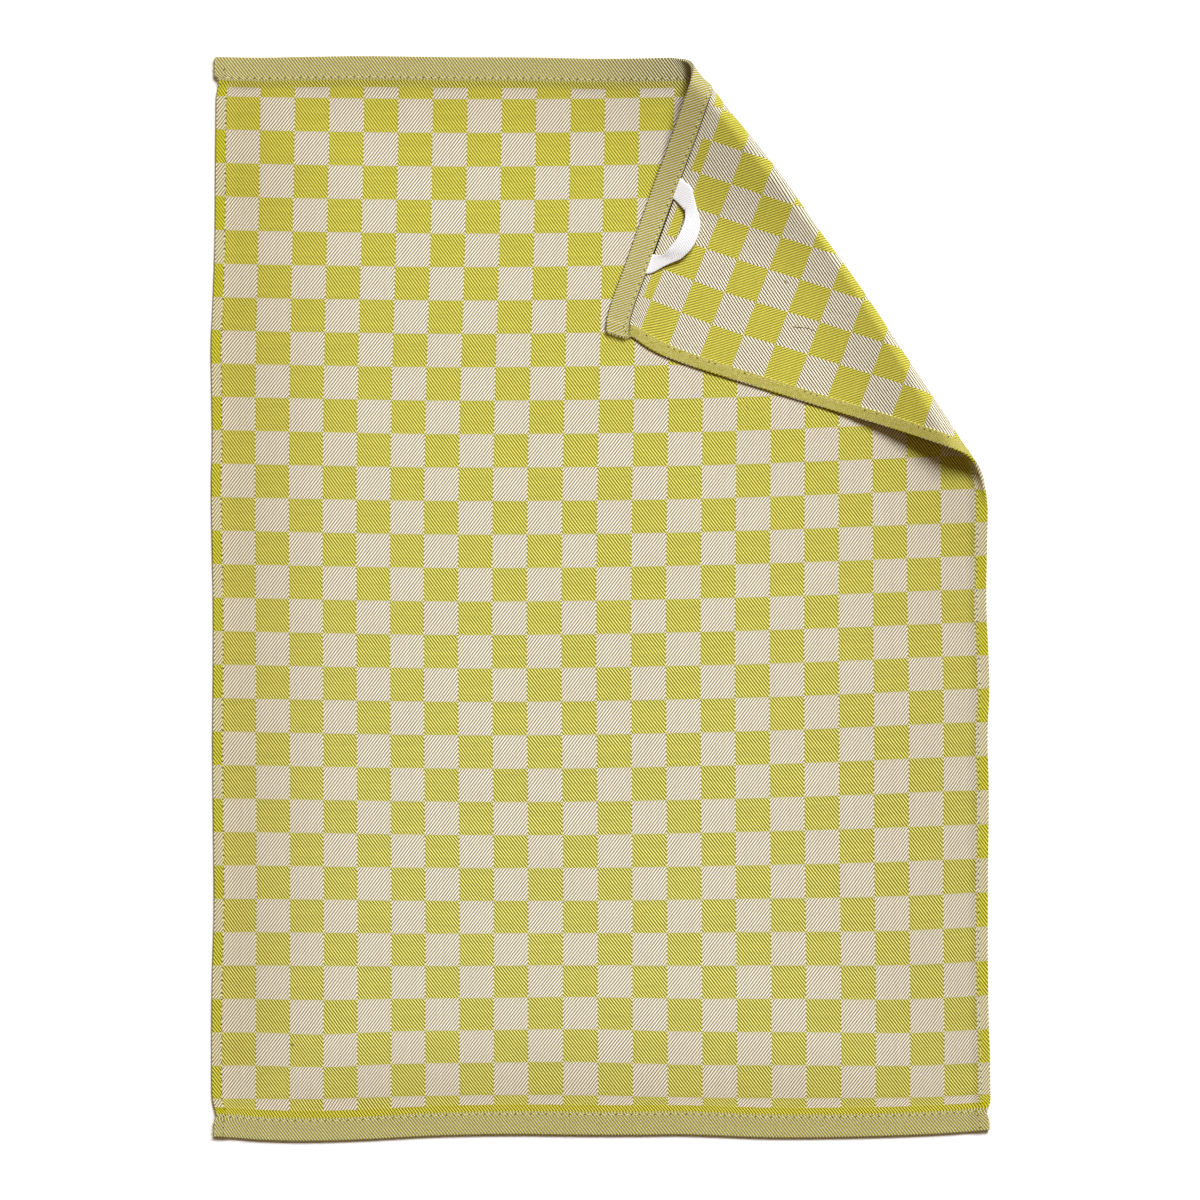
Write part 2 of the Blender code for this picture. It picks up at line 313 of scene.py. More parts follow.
def fold_over(laid):
    """The middle of the cloth at each place, the cloth's slope there, and how far it is turned."""
    distance, lift_off, radius, past, roll, bend_back = beside_fold(laid)
    descent = bend_back * COMING_DOWN
    in_roll = np.clip(past, 0.0, roll)
    in_descent = np.clip(past - roll, 0.0, descent)
    beyond = np.clip(past - roll - descent, 0.0, None)
    slope = in_roll / radius - in_descent / bend_back
    coming = in_descent > 0
    turn_left = math.pi + COMING_DOWN - in_descent / bend_back
    sine_down = np.sin(turn_left) + math.sin(COMING_DOWN)
    cosine_down = np.cos(turn_left) + math.cos(COMING_DOWN)
    reach = np.minimum(past, 0.0) + radius * np.sin(in_roll / radius) - beyond
    reach = reach - np.where(coming, bend_back * sine_down, 0.0)
    bulge = along_in(BULGE_AT, BULGE, distance)
    reach = reach + bulge * np.sin(math.pi * np.clip(past / roll, 0.0, 1.0))
    height = radius * (1 - np.cos(in_roll / radius))
    height = height + np.where(coming, bend_back * cosine_down, 0.0)
    away = (reach + lift_off)[:, None]
    level = FOLD_START + distance[:, None] * DOWN_FOLD + away * PAST_FOLD
    turned = ramp(past / roll, 0.0, 1.0)
    return np.column_stack([level, height + CLOTH / 2]), slope, turned


def face_normals(slope):
    """The way the cloth's face looks, where it has this slope."""
    return np.column_stack([-np.sin(slope)[:, None] * PAST_FOLD, np.cos(slope)])


print("folded corner at:", fold_over(lie_uneven(corners[1:2]))[0].round(1).tolist())

# %% [markdown]
# ## The cloth's two surfaces
#
# A hem is three layers. On the face it only shows as a soft swelling, because one unbroken
# layer runs over the others. On the back we see the turned edge itself, so there the surface
# drops off sharply, and the turned edge even overhangs a little and keeps a dark line under it.
# We could model three real layers, but they would never be seen apart, so one closed mesh with
# these two different profiles is both lighter and closer to the look.

# %% Unevenness of the lying cloth
UNEVEN = 0.5
UNEVEN_WAVES = (58.0, 77.0, 96.0, 131.0, 190.0)
PUCKER = 0.2
# Beside the sides and beside the ends: how far in the puckers are, their reach and their pitch.
PUCKERS = ((12.0, 8.0, 27.0), (21.0, 9.0, 35.1))
WOBBLE = 2.0
WOBBLE_WAVES = (140.0, 210.0)
# Round the fold the cloth is springy and holds both layers off the table.
FOLD_RISE = (7.0, 5.0, 2.6, 2.4, 4.0, 5.0)
RISE_REACH = (58.0, 52.0, 42.0, 36.0, 36.0, 36.0)


def lift(flat, place):
    """How far the cloth stands off the table.

    The long swells belong to the place on the table, so the folded part follows the part under
    it. The small puckers belong to the cloth, beside its hems.
    """
    from_side, from_end = from_edges(flat)
    swell = 0.5 + 0.5 * waves(place[:, :2], UNEVEN_WAVES, seed=21)
    wobble = WOBBLE * waves(flat, WOBBLE_WAVES, seed=5)
    pucker = np.zeros(len(flat))
    for run, from_edge, sizes in zip((flat[:, 1], flat[:, 0]), (from_side, from_end), PUCKERS):
        inset, reach, pitch = sizes
        wave = 0.5 + 0.5 * np.sin(2 * math.pi * run / pitch + wobble)
        pucker += wave * np.exp(-(((from_edge - inset) / reach) ** 2))
    from_start = place[:, :2] - FOLD_START
    down_fold = from_start @ DOWN_FOLD
    reach = along_in(FOLD_AT, RISE_REACH, down_fold)
    near_fold = np.exp(-((from_start @ PAST_FOLD / reach) ** 2))
    return UNEVEN * swell + PUCKER * pucker + along_in(FOLD_AT, FOLD_RISE, down_fold) * near_fold


# %% Face and back
# On the face and on the back: how high a side hem stands beside an end hem, and from where to
# where a side hem and an end hem fall off, counted from the hem's inner edge.
HEM_PROFILES = (
    (1.0, (-1.5, 4.5), (-1.5, 7.0)),
    (0.55, (-0.2, 0.1), (-0.2, 0.1)),
)


def on_hem(from_edge, hem, fall):
    """1 on a hem and 0 past it, with the fall between."""
    return 1 - ramp(from_edge, hem + fall[0], hem + fall[1])


def hem_rises(flat):
    """How much the hems add on the face, softly, and on the back, with a crisp edge."""
    from_side, from_end = from_edges(flat)
    rises = []
    for side_height, side_fall, end_fall in HEM_PROFILES:
        side = side_height * on_hem(from_side, SIDE_HEM, side_fall)
        end = on_hem(from_end, END_HEM, end_fall)
        rises.append(HEM_EXTRA * np.maximum(side, end) + CORNER_EXTRA * side * end)
    return rises


def cloth_sides(flat):
    """The places of the cloth's face and of its back."""
    place, slope, turned = fold_over(lie_uneven(flat))
    place[:, 2] += lift(flat, place)
    normal = face_normals(slope)
    on_face, on_back = hem_rises(flat)
    face = place + normal * (CLOTH / 2 + (1 - turned) * on_face)[:, None]
    back = place - normal * (CLOTH / 2 + turned * on_back)[:, None]
    return face, back


for side_name, surface in zip(("face", "back"), cloth_sides(corners)):
    print(side_name, "heights at the corners:", surface[:, 2].round(1).tolist())

# %% [markdown]
# ## The mesh
#
# The sheet starts as a flat grid whose lines crowd where a hem's edge needs them. Then it is
# cut along the roll, so that the mesh has edges that run with the fold: a grid that crosses a
# tight turn at a slant would leave a jagged outline. Both sides use the same grid, and a
# rounded rim joins them.

# %% A flat grid, close together at the hems
RIM = 0.8
FIELD_STEP = 5.0
# Lines inside a hem, as shares of the way from the rim to just short of the hem's inner edge.
INSIDE_HEM = (0.0, 0.08, 0.2, 0.38, 0.58, 0.78, 0.93)
SHORT_OF_EDGE = 1.0
# Lines round that edge, counted from it.
HEM_EDGE = (-0.9, -0.45, -0.2, 0.0, 0.2, 0.5, 1.2, 2.4, 4.0, 6.0)


def grid_lines(size, hem):
    """Lines from rim to rim."""
    near = [RIM + (hem - SHORT_OF_EDGE - RIM) * share for share in INSIDE_HEM]
    near += [hem + step for step in HEM_EDGE]
    count = int(round((size - 2 * near[-1]) / FIELD_STEP))
    field = np.linspace(near[-1], size - near[-1], count + 1)[1:-1]
    return np.array(near + list(field) + [size - line for line in reversed(near)])


def flat_grid():
    """A sheet of quads whose vertices hold (across, down) of the flat towel."""
    across = grid_lines(WIDTH, SIDE_HEM)
    down = grid_lines(LENGTH, END_HEM)
    sheet = bmesh.new()
    rows = [[sheet.verts.new((u, v, 0.0)) for u in across] for v in down]
    for upper, lower in zip(rows, rows[1:]):
        for i in range(len(across) - 1):
            sheet.faces.new((lower[i], lower[i + 1], upper[i + 1], upper[i]))
    return sheet


# %% Cuts that run with the fold
ROLL_CUTS = 21
DESCENT_CUTS = 5
# A point this near to a cut, as a share of the way to the next, is cut through as it is.
SNAP = 0.12


def turn_levels(flat):
    """0 to 1 through the roll, 1 to 2 through the way down."""
    _, _, _, past, roll, bend_back = beside_fold(lie_uneven(flat))
    descent = bend_back * COMING_DOWN
    return np.where(past < roll, past / roll, 1 + (past - roll) / descent)


def cut_along_level(sheet, level, snap):
    """Split the sheet's faces where the fold has turned by this much."""
    verts = list(sheet.verts)
    side = turn_levels(np.array([v.co[:2] for v in verts])) - level
    above = dict(zip(verts, side))
    cut = [vert for vert in verts if abs(above[vert]) < snap]
    on_level = set(cut)
    for edge in list(sheet.edges):
        first, second = edge.verts
        if above[first] * above[second] > 0 or first in on_level or second in on_level:
            continue
        share = above[first] / (above[first] - above[second])
        cut.append(bmesh.utils.edge_split(edge, first, share)[1])
    bmesh.ops.connect_verts(sheet, verts=cut)


def cut_sheet():
    """The flat grid with every cut made, as triangles."""
    sheet = flat_grid()
    for level in np.linspace(0.0, 1.0, ROLL_CUTS):
        cut_along_level(sheet, level, SNAP / ROLL_CUTS)
    for level in np.linspace(1.0, 2.0, DESCENT_CUTS + 1)[1:]:
        cut_along_level(sheet, level, SNAP / DESCENT_CUTS)
    bmesh.ops.triangulate(sheet, faces=[f for f in sheet.faces if len(f.verts) > 4])
    sheet.verts.index_update()
    return sheet


# %% A rounded rim
RIM_RINGS = 14
# 1 would be a plain round, and less is fuller.
RIM_POWER = 0.6
HEM_LAYERS = 4
LAYER_DEPTH = 0.4
# How much of the cloth's map the rim takes, in rims.
RIM_MAPPED = 1.6
JUST_INSIDE = 0.5
NEARLY = 0.01


def rim_flat_ways(flat):
    """For places on the flat sheet's border, the way out of the sheet."""
    ways = np.zeros_like(flat)
    for axis, size in ((0, WIDTH), (1, LENGTH)):
        ways[:, axis] -= flat[:, axis] < RIM + NEARLY
        ways[:, axis] += flat[:, axis] > size - RIM - NEARLY
    return ways


def rim_rings(flat, face, back):
    """Rings of points round the sheet's border, from the face to the back, and their flat places.

    A hem's folded edge is one round. At its open ends the layers show.
    """
    ways = rim_flat_ways(flat)
    inner_face, inner_back = cloth_sides(flat - JUST_INSIDE * ways)
    middle = (face + back) / 2
    out = middle - (inner_face + inner_back) / 2
    out /= np.linalg.norm(out, axis=1)[:, None]
    _, from_end = from_edges(flat)
    layered = (ways[:, 0] != 0) & (from_end < END_HEM)
    places, flats = [], []
    for ring in range(1, RIM_RINGS):
        turn = math.pi * ring / RIM_RINGS
        dents = LAYER_DEPTH * abs(math.cos(turn * HEM_LAYERS)) * layered
        out_by = RIM * math.sin(turn) ** RIM_POWER * (1 - dents)
        places.append(middle + (face - back) / 2 * math.cos(turn) + out * out_by[:, None])
        flats.append(flat + ways * RIM_MAPPED * RIM * ring / RIM_RINGS)
    return places, flats


# %% Join everything into one closed mesh
def towel_mesh():
    """Points, faces, flat places and the share of back at each point of the whole towel."""
    sheet = cut_sheet()
    flat = np.array([v.co[:2] for v in sheet.verts])
    face, back = cloth_sides(flat)
    border = sorted({v.index for e in sheet.edges if e.is_boundary for v in e.verts})
    rank = {index: i for i, index in enumerate(border)}
    ring_places, ring_flats = rim_rings(flat[border], face[border], back[border])
    points = np.concatenate([face, back, *ring_places])
    flats = np.concatenate([flat, flat, *ring_flats])
    is_back = np.zeros(len(points), np.float32)
    is_back[len(flat) : 2 * len(flat)] = 1.0
    faces = [[v.index for v in f.verts] for f in sheet.faces]
    faces += [[v.index + len(flat) for v in reversed(f.verts)] for f in sheet.faces]

    def ring_point(index, ring):
        if ring == 0:
            return index
        if ring == RIM_RINGS:
            return index + len(flat)
        return 2 * len(flat) + (ring - 1) * len(border) + rank[index]

    for edge in sheet.edges:
        if edge.is_boundary:
            corner = edge.link_loops[0]
            start, end = corner.vert.index, corner.link_loop_next.vert.index
            for ring in range(RIM_RINGS):
                near, far = ring, ring + 1
                quad = [(start, near), (start, far), (end, far), (end, near)]
                faces.append([ring_point(*pair) for pair in quad])
    sheet.free()
    return points * MM, faces, flats * MM, is_back


def add_piece(name, points, faces):
    """One smooth object at the origin."""
    mesh = bpy.data.meshes.new(name)
    mesh.from_pydata(points.tolist(), [], faces)
    mesh.update()
    mesh.shade_smooth()
    piece = bpy.data.objects.new(name, mesh)
    bpy.context.scene.collection.objects.link(piece)
    return piece


def map_cloth(piece, flats):
    """A UV map called cloth that holds each point's flat place, in metres."""
    layer = piece.data.uv_layers.new(name="cloth")
    corners = np.zeros(len(piece.data.loops), np.int32)
    piece.data.loops.foreach_get("vertex_index", corners)
    layer.uv.foreach_set("vector", flats[corners].astype(np.float32).ravel())


points, faces, flats, is_back = towel_mesh()
towel_cloth = add_piece("towel_cloth", points, faces)
map_cloth(towel_cloth, flats)
towel_cloth.data.attributes.new("back", "FLOAT", "POINT").data.foreach_set("value", is_back)
triangles = sum(len(p.vertices) - 2 for p in towel_cloth.data.polygons)
print("towel cloth:", len(points), "points,", triangles, "triangles")

# %% [markdown]
# ## Building shaders in words
#
# A weave is arithmetic: which thread is this, how far along it are we, is it over or under. In
# the node editor that is a hundred Math nodes. A tiny class lets us write the sums as sums, and
# lays the nodes for us.

# %% Sums that lay their own nodes
class Wire:
    """A number in a node tree. Each sum or word lays Math nodes and gives a new wire."""

    def __init__(self, tree, socket):
        self.tree = tree
        self.socket = socket

    def math(self, operation, *values):
        node = self.tree.nodes.new("ShaderNodeMath")
        node.operation = operation
        for value, slot in zip(values, node.inputs):
            feed(self.tree, value, slot)
        return Wire(self.tree, node.outputs[0])

    def __rsub__(self, other):
        return self.math("SUBTRACT", other, self)

    def __rtruediv__(self, other):
        return self.math("DIVIDE", other, self)

    def chance(self):
        """A random number from 0 to 1, its own for each whole number."""
        node = self.tree.nodes.new("ShaderNodeTexWhiteNoise")
        node.noise_dimensions = "1D"
        feed(self.tree, self.floor() + 0.5, node.inputs["W"])
        return Wire(self.tree, node.outputs["Value"])

    def between(self, low, high):
        """low where this is 0, high where it is 1."""
        return low + self * (high - low)

    def clipped(self):
        """This, but never below 0 or above 1."""
        return self.most(0.0).least(1.0)


def one_node(operation):
    """A word that lays one Math node."""
    return lambda wire, *others: wire.math(operation, wire, *others)


MATH_WORDS = {
    "__add__": "ADD",
    "__radd__": "ADD",
    "__sub__": "SUBTRACT",
    "__mul__": "MULTIPLY",
    "__rmul__": "MULTIPLY",
    "__truediv__": "DIVIDE",
    "floor": "FLOOR",
    "fraction": "FRACT",
    "repeat": "FLOORED_MODULO",
    "above": "GREATER_THAN",
    "below": "LESS_THAN",
    "least": "MINIMUM",
    "most": "MAXIMUM",
    "size": "ABSOLUTE",
    "sine": "SINE",
    "power": "POWER",
    "exponential": "EXPONENT",
}
for word, operation in MATH_WORDS.items():
    setattr(Wire, word, one_node(operation))
print("math words:", len(MATH_WORDS))


# %% Feeding sockets
def feed(tree, value, slot):
    """Put a Wire, a node's first output, a socket or a plain value into an input."""
    if isinstance(value, Wire):
        tree.links.new(value.socket, slot)
    elif isinstance(value, bpy.types.Node):
        tree.links.new(value.outputs[0], slot)
    elif isinstance(value, bpy.types.NodeSocket):
        tree.links.new(value, slot)
    else:
        slot.default_value = value


def add_node(tree, kind, settings=None, **values):
    """A node with its settings, and its inputs fed by name. Underscores stand for spaces."""
    node = tree.nodes.new(kind)
    for key, value in (settings or {}).items():
        setattr(node, key, value)
    for title, value in values.items():
        feed(tree, value, node.inputs[title.replace("_", " ")])
    return node


# %% Node groups with named inputs and outputs
def new_group(name, inputs, outputs):
    """A shader node group. inputs is {name: default}, all numbers."""
    tree = bpy.data.node_groups.new(name, "ShaderNodeTree")
    for title, default in inputs.items():
        socket = tree.interface.new_socket(title, in_out="INPUT", socket_type="NodeSocketFloat")
        socket.default_value = default
    for title in outputs:
        tree.interface.new_socket(title, in_out="OUTPUT", socket_type="NodeSocketFloat")
    entry = tree.nodes.new("NodeGroupInput")
    leave = tree.nodes.new("NodeGroupOutput")
    wires = {title: Wire(tree, entry.outputs[title]) for title in inputs}
    return tree, wires, leave


def use_group(tree, group, **values):
    """Place a group in a tree, and give its outputs by name."""
    node = add_node(tree, "ShaderNodeGroup", {"node_tree": group}, **values)
    return {output.name: Wire(tree, output) for output in node.outputs}


def blend_colours(tree, share, first, second, how="MIX"):
    """The first colour where share is 0, the second where it is 1."""
    settings = {"data_type": "RGBA", "blend_type": how}
    node = add_node(tree, "ShaderNodeMix", settings, Factor=share, A=first, B=second)
    return node.outputs["Result"]


def scale_colour(tree, colour, factor):
    """A colour made lighter or darker by a number."""
    return add_node(tree, "ShaderNodeVectorMath", {"operation": "SCALE"}, Vector=colour, Scale=factor)


# %% [markdown]
# ## One group for every twill
#
# In a twill each thread floats over three others and dives under the fourth, and every row
# starts one thread further on, which draws the slanted ribs. The towel's checks are two such
# twills: where the dyed weft floats, the square is green, and where the plain warp floats, it
# is beige. The hem's ends are the even kind, two over and two under, and the white tape is a
# twill of its own. So we build the twill once, as a group, and give it a different step,
# float and face in each place.

# %% The twill group
REPEAT = 4.0
# How far a float stands out: FULL_CROWN less LOST_CROWN over the square of its span in threads,
# so one over a single thread is hardly seen, and one over three is as high as they get.
FULL_CROWN = 1.15
LOST_CROWN = 1.13
# What is left of the light and of the height at a thread's sides.
SIDE_LIGHT = 0.85
SIDE_HEIGHT = 0.6


def build_twill():
    """Which yarn is on top at a place, how high it is and how lit.

    Step is how many warp threads the pattern moves with each weft, and Under is for how many
    threads out of four the other yarn comes up. A float is bright along its middle and dark
    where it dives, and Fill is how much of it is bright. Slant skews a float's ends, as the
    pull of its neighbours does, so that the ribs run on unbroken.
    """
    inputs = {"Warp": 0.0, "Weft": 0.0, "Step": 1.0, "Under": 1.0, "Weft face": 1.0}
    inputs |= {"Warp fill": 1.9, "Weft fill": 1.3, "Weft light": 1.0, "Slant": 0.8}
    tree, wire, leave = new_group("Twill", inputs, ("Warp on top", "Relief", "Light"))
    warp, weft, step, under = wire["Warp"], wire["Weft"], wire["Step"], wire["Under"]
    in_warp, in_weft = warp.fraction(), weft.fraction()
    phase = (warp.floor() + step * weft.floor()).repeat(REPEAT)
    floats = phase.above(under - 0.5)
    warp_top = (floats - wire["Weft face"]).size()
    down_weft = step.above(0.0).between(1.0 - in_weft, in_weft)
    along_thread = warp_top.between(in_warp, down_weft)
    across_thread = warp_top.between(in_weft, in_warp)
    span = under + floats * (REPEAT - 2.0 * under)
    warp_slant = in_warp - 0.5
    weft_slant = (in_weft - 0.5) * step.above(0.0).between(-1.0, 1.0)
    slant = warp_top.between(weft_slant, warp_slant) * wire["Slant"]
    arch = ((phase - floats * under + along_thread + slant) / span * math.pi).sine()
    crown = (FULL_CROWN - LOST_CROWN / (span * span)).least(1.0)
    rounded = 1.0 - (2.0 * across_thread - 1.0).power(2.0)
    fill = warp_top.between(wire["Weft fill"], wire["Warp fill"])
    lit = (arch * fill).clipped() * warp_top.between(wire["Weft light"], 1.0)
    light = lit * crown * rounded.between(SIDE_LIGHT, 1.0)
    relief = arch * crown * rounded.between(SIDE_HEIGHT, 1.0)
    for title, value in (("Warp on top", warp_top), ("Relief", relief), ("Light", light)):
        feed(tree, value, leave.inputs[title])
    return tree


# %% [markdown]
# Spun yarn is never even. Each thread has its own shade, and along a thread thicker and thinner
# stretches follow each other: in a woven cloth they show as short faint streaks. The same group
# serves the cloth, the tape and the sewing thread.

# %% The uneven yarn group
# Threads read the noise this far apart, so that neighbours aren't alike.
THREADS_APART = 7.31
# How much the slubs count beside the thread's own shade, and the middle of the two together.
SLUB_PART = 2.0
MIXED_MIDDLE = 0.5 + 0.5 * SLUB_PART


def build_uneven_yarn():
    """A factor round 1: a shade for each thread, and slubs along it, all in millimetres."""
    inputs = {"Thread": 0.0, "Along": 0.0, "Slub": 9.0, "Amount": 0.08}
    tree, wire, leave = new_group("Uneven yarn", inputs, ("Tone",))
    thread = wire["Thread"].floor()
    spot = add_node(
        tree, "ShaderNodeCombineXYZ", X=wire["Along"] / wire["Slub"], Y=thread * THREADS_APART
    )
    slubs = add_node(
        tree, "ShaderNodeTexNoise", {"noise_dimensions": "2D"}, Vector=spot, Scale=1.0, Detail=1.0
    )
    mixed = thread.chance() + SLUB_PART * Wire(tree, slubs.outputs["Fac"]) - MIXED_MIDDLE
    feed(tree, 1.0 + wire["Amount"] * mixed, leave.inputs["Tone"])
    return tree


twill = build_twill()
uneven_yarn = build_uneven_yarn()
print("groups:", twill.name, len(twill.nodes), "nodes,", uneven_yarn.name, len(uneven_yarn.nodes))

# %% [markdown]
# ## The woven check
#
# The material reads the flat place of each point from the UV map, so threads follow the cloth
# over the fold. First it finds out where it is: in a green or a beige square, in the narrow
# green border, in the mixed weave of the end hems, or on the turned selvedge of a side hem.
# Then the twill group says which yarn is up, and the colour is that yarn's, with a painted
# highlight on its crown and painted shade deep between the ribs. Those gaps are coloured and not
# only bumped, because cotton's gaps are darker and more saturated than any shading by one lamp
# makes them.

# %% Start a material
def new_material(name):
    """A material with its Principled BSDF ready."""
    material = bpy.data.materials.new(name)
    material.use_nodes = True
    tree = material.node_tree
    return material, tree, tree.nodes["Principled BSDF"]


def cloth_place(tree):
    """The flat place, in millimetres, from the piece's cloth map."""
    place = add_node(tree, "ShaderNodeUVMap", {"uv_map": "cloth"})
    parts = add_node(tree, "ShaderNodeSeparateXYZ", Vector=place)
    return [Wire(tree, parts.outputs[axis]) / MM for axis in ("X", "Y")]


def add_bump(tree, shader, height, distance):
    """Low relief on a shader, its full height being the distance, in millimetres."""
    bump = add_node(tree, "ShaderNodeBump", Strength=1.0, Distance=distance * MM, Height=height)
    feed(tree, bump, shader.inputs["Normal"])


def set_shader(shader, **values):
    """Constants of a finish, each on the shader's own socket."""
    for title, value in values.items():
        shader.inputs[title.replace("_", " ")].default_value = value


# %% Which part of the cloth is this
FIRST_COLUMN = 6.4
CHECK_WIDTH = 22.0
FIRST_ROW = 26.4
CHECK_LENGTH = 21.385
BORDER = 19.6
# Each line of stitches: how far it is from the edge, and the length of a stitch.
SIDE_STITCH = 6.4
SIDE_PITCH = 4.0
END_STITCH = 13.3
END_PITCH = 4.9


def cloth_parts(tree):
    """Where a place of the cloth is, and masks that are 1 in each part that it is in."""
    across, down = cloth_place(tree)
    attribute = add_node(tree, "ShaderNodeAttribute", {"attribute_name": "back"})
    back = Wire(tree, attribute.outputs["Fac"]).above(0.5)
    from_side = across.least(WIDTH - across)
    from_end = down.least(LENGTH - down)
    column = ((across - FIRST_COLUMN) / CHECK_WIDTH).floor()
    row = ((down - FIRST_ROW) / CHECK_LENGTH).floor()
    green = (1.0 - (column + row).repeat(2.0)).most(from_end.below(BORDER))
    hem = from_end.below(END_HEM)
    side_hem = from_side.below(back.between(SIDE_STITCH, SIDE_HEM)) * (1.0 - hem)
    selvedge = side_hem * back
    weft_face = (green - back).size().most(hem).most(selvedge)
    return SimpleNamespace(
        across=across,
        down=down,
        from_side=from_side,
        from_end=from_end,
        back=back,
        green=green,
        hem=hem,
        side_hem=side_hem,
        selvedge=selvedge,
        border=from_end.below(BORDER) * (1.0 - hem),
        weft_face=weft_face,
        green_square=weft_face * (1.0 - hem) * (1.0 - selvedge),
    )


# %% [markdown]
# The real threads are so fine that ribs of their true width would blur, or turn to a false
# pattern, in a picture of the whole towel. Ours are a little coarser: 44 warp threads and 32
# wefts to a check. A check's ribs slant one way where the weft floats and the other way where
# the warp does. On the selvedge, which is turned to the back of a side hem, no rib can be seen,
# only a grain.

# %% The weave of each part
WARP_PITCH = CHECK_WIDTH / 44
WEFT_PITCH = CHECK_LENGTH / 32
# The weft's light in an end hem: at the top, at the bottom, and on the back.
HEM_WEFT_LIGHT = (0.45, 0.46, 0.66)
SIDE_HEM_LIGHT = 0.86
# The selvedge's light and its share of beige, and how much its grain adds to either.
SELVEDGE_LIGHT = 0.29
SELVEDGE_BEIGE = 0.24
SELVEDGE_GRAIN = 0.4
# Makes one whole number from a warp's and a weft's.
NEXT_WEFT = 131.0
# In a green square the warp that comes up lies deep between green floats, and takes their colour:
# painted shade and painted green bounce light.
# On the back a little of it also shines through them.
DEEP_WARP = 0.35
WARP_SHINES = 0.12
# Painted shade: how much darker the border is beside the hem, at the top and at the bottom.
BORDER_SHADE = (0.03, 0.13)


def weave(tree, at):
    """The share of beige yarn, its light, its relief and its tone in each part of the cloth."""
    step = at.hem.between(1.0 - 2.0 * at.green, 2.0 * at.back - 1.0)
    warp, weft = at.across / WARP_PITCH, at.down / WEFT_PITCH
    top_hem, bottom_hem, back_hem = HEM_WEFT_LIGHT
    hem_light = at.back.between((at.down / LENGTH).between(top_hem, bottom_hem), back_hem)
    woven = use_group(
        tree,
        twill,
        Warp=warp,
        Weft=weft,
        Step=at.selvedge.between(step, 2.0),
        Under=1.0 + at.hem,
        Weft_face=at.weft_face,
        Weft_light=at.hem.between(1.0, hem_light),
    )
    warp_tone = use_group(tree, uneven_yarn, Thread=warp, Along=at.down, Slub=14.0, Amount=0.07)
    weft_tone = use_group(tree, uneven_yarn, Thread=weft, Along=at.across, Slub=11.0, Amount=0.09)
    beige = woven["Warp on top"]
    tone = beige.between(weft_tone["Tone"], warp_tone["Tone"])
    grain = (warp.floor() + NEXT_WEFT * weft.floor()).chance()
    beige = at.selvedge.between(beige, SELVEDGE_BEIGE + SELVEDGE_GRAIN * grain)
    beige = beige * at.green_square.between(1.0, DEEP_WARP)
    beige = beige.most(WARP_SHINES * at.green_square * at.back)
    light = woven["Light"] * at.side_hem.between(1.0, SIDE_HEM_LIGHT)
    light = at.selvedge.between(light, SELVEDGE_LIGHT + SELVEDGE_GRAIN * grain)
    light = light * (1.0 - (at.down / LENGTH).between(*BORDER_SHADE) * at.border)
    return beige, light, woven["Relief"], tone


# %% [markdown]
# Open ribs are deep and clear. Towards the top end the weft is beaten closer and the ribs close
# up. On the back the green checks' ribs have less contrast: painted light, for ribs that run
# along the light there. In the top row, near the fold, the gaps deepen and the cloth darkens:
# painted shade of the rising fold.

# %% How open the ribs are
MIDDLE_LIGHT = 0.56
CLOSED_RIBS = 0.75
BACK_RIBS = 0.54
OPEN_FROM = 60.0
OPEN_OVER = 420.0
# The painted fold shade begins at this place across and grows over this distance, and it ends at
# this place down after fading over this distance.
FOLD_SHADE_ACROSS = (235.0, 60.0)
FOLD_SHADE_DOWN = (32.0, 12.0)
FOLD_SHADE_OPEN = 0.6
FOLD_SHADE_DARKER = 0.12
GREEN_BACK_LIGHTER = 0.02


def open_ribs(at, light):
    """The light with more or less contrast between the ribs and the gaps."""
    further_down = ((at.down - OPEN_FROM) / OPEN_OVER).clipped()
    openness = at.back.between(further_down.between(CLOSED_RIBS, 1.0), BACK_RIBS)
    openness = (at.weft_face * (1.0 - at.hem) * (1.0 - at.border)).between(1.0, openness)
    # Painted shade near the fold, in the top row of the face.
    fold_shade = ((at.across - FOLD_SHADE_ACROSS[0]) / FOLD_SHADE_ACROSS[1]).clipped() * (1.0 - at.back)
    fold_shade = fold_shade * ((FOLD_SHADE_DOWN[0] - at.down) / FOLD_SHADE_DOWN[1]).clipped()
    contrast = openness + FOLD_SHADE_OPEN * fold_shade
    middle = MIDDLE_LIGHT - FOLD_SHADE_DARKER * fold_shade
    middle = middle + GREEN_BACK_LIGHTER * at.green_square * at.back
    return (middle + (light - MIDDLE_LIGHT) * contrast).clipped()


# %% [markdown]
# A yarn has two colours: its own, and a paler one, a painted highlight on the crown of a float,
# where its fibres catch the light. The gaps below get a third, dark and warm: painted shade.
# Towards its edges the whole cloth is a shade darker and warmer: painted shade, where less light
# falls.

# %% Colours of the yarns
GREEN = (0.80, 0.743, 0.018, 1.0)
# The crown colours are painted highlights.
GREEN_CROWN = (0.86, 0.835, 0.34, 1.0)
BEIGE = (0.815, 0.735, 0.44, 1.0)
BEIGE_CROWN = (0.93, 0.88, 0.86, 1.0)
# Painted shade deep in the gaps between the ribs: in the checks, and in the hems and on the back.
UNDER_GREEN = (0.10, 0.09, 0.001, 1.0)
UNDER_BEIGE = (0.17, 0.14, 0.02, 1.0)
UNDER_HEM = (0.05, 0.036, 0.001, 1.0)
BACK_TINT = (1.0, 0.995, 0.89, 1.0)
# The light from which a crown shows.
CROWN = 0.72
# How beige the beige yarn of an end hem is, on the face and on the back.
HEM_BEIGE = (0.8, 1.0)
# The colour of the painted shade at the edges: darker and warmer.
EDGE_SHADE_TINT = (0.86, 0.815, 0.76, 1.0)
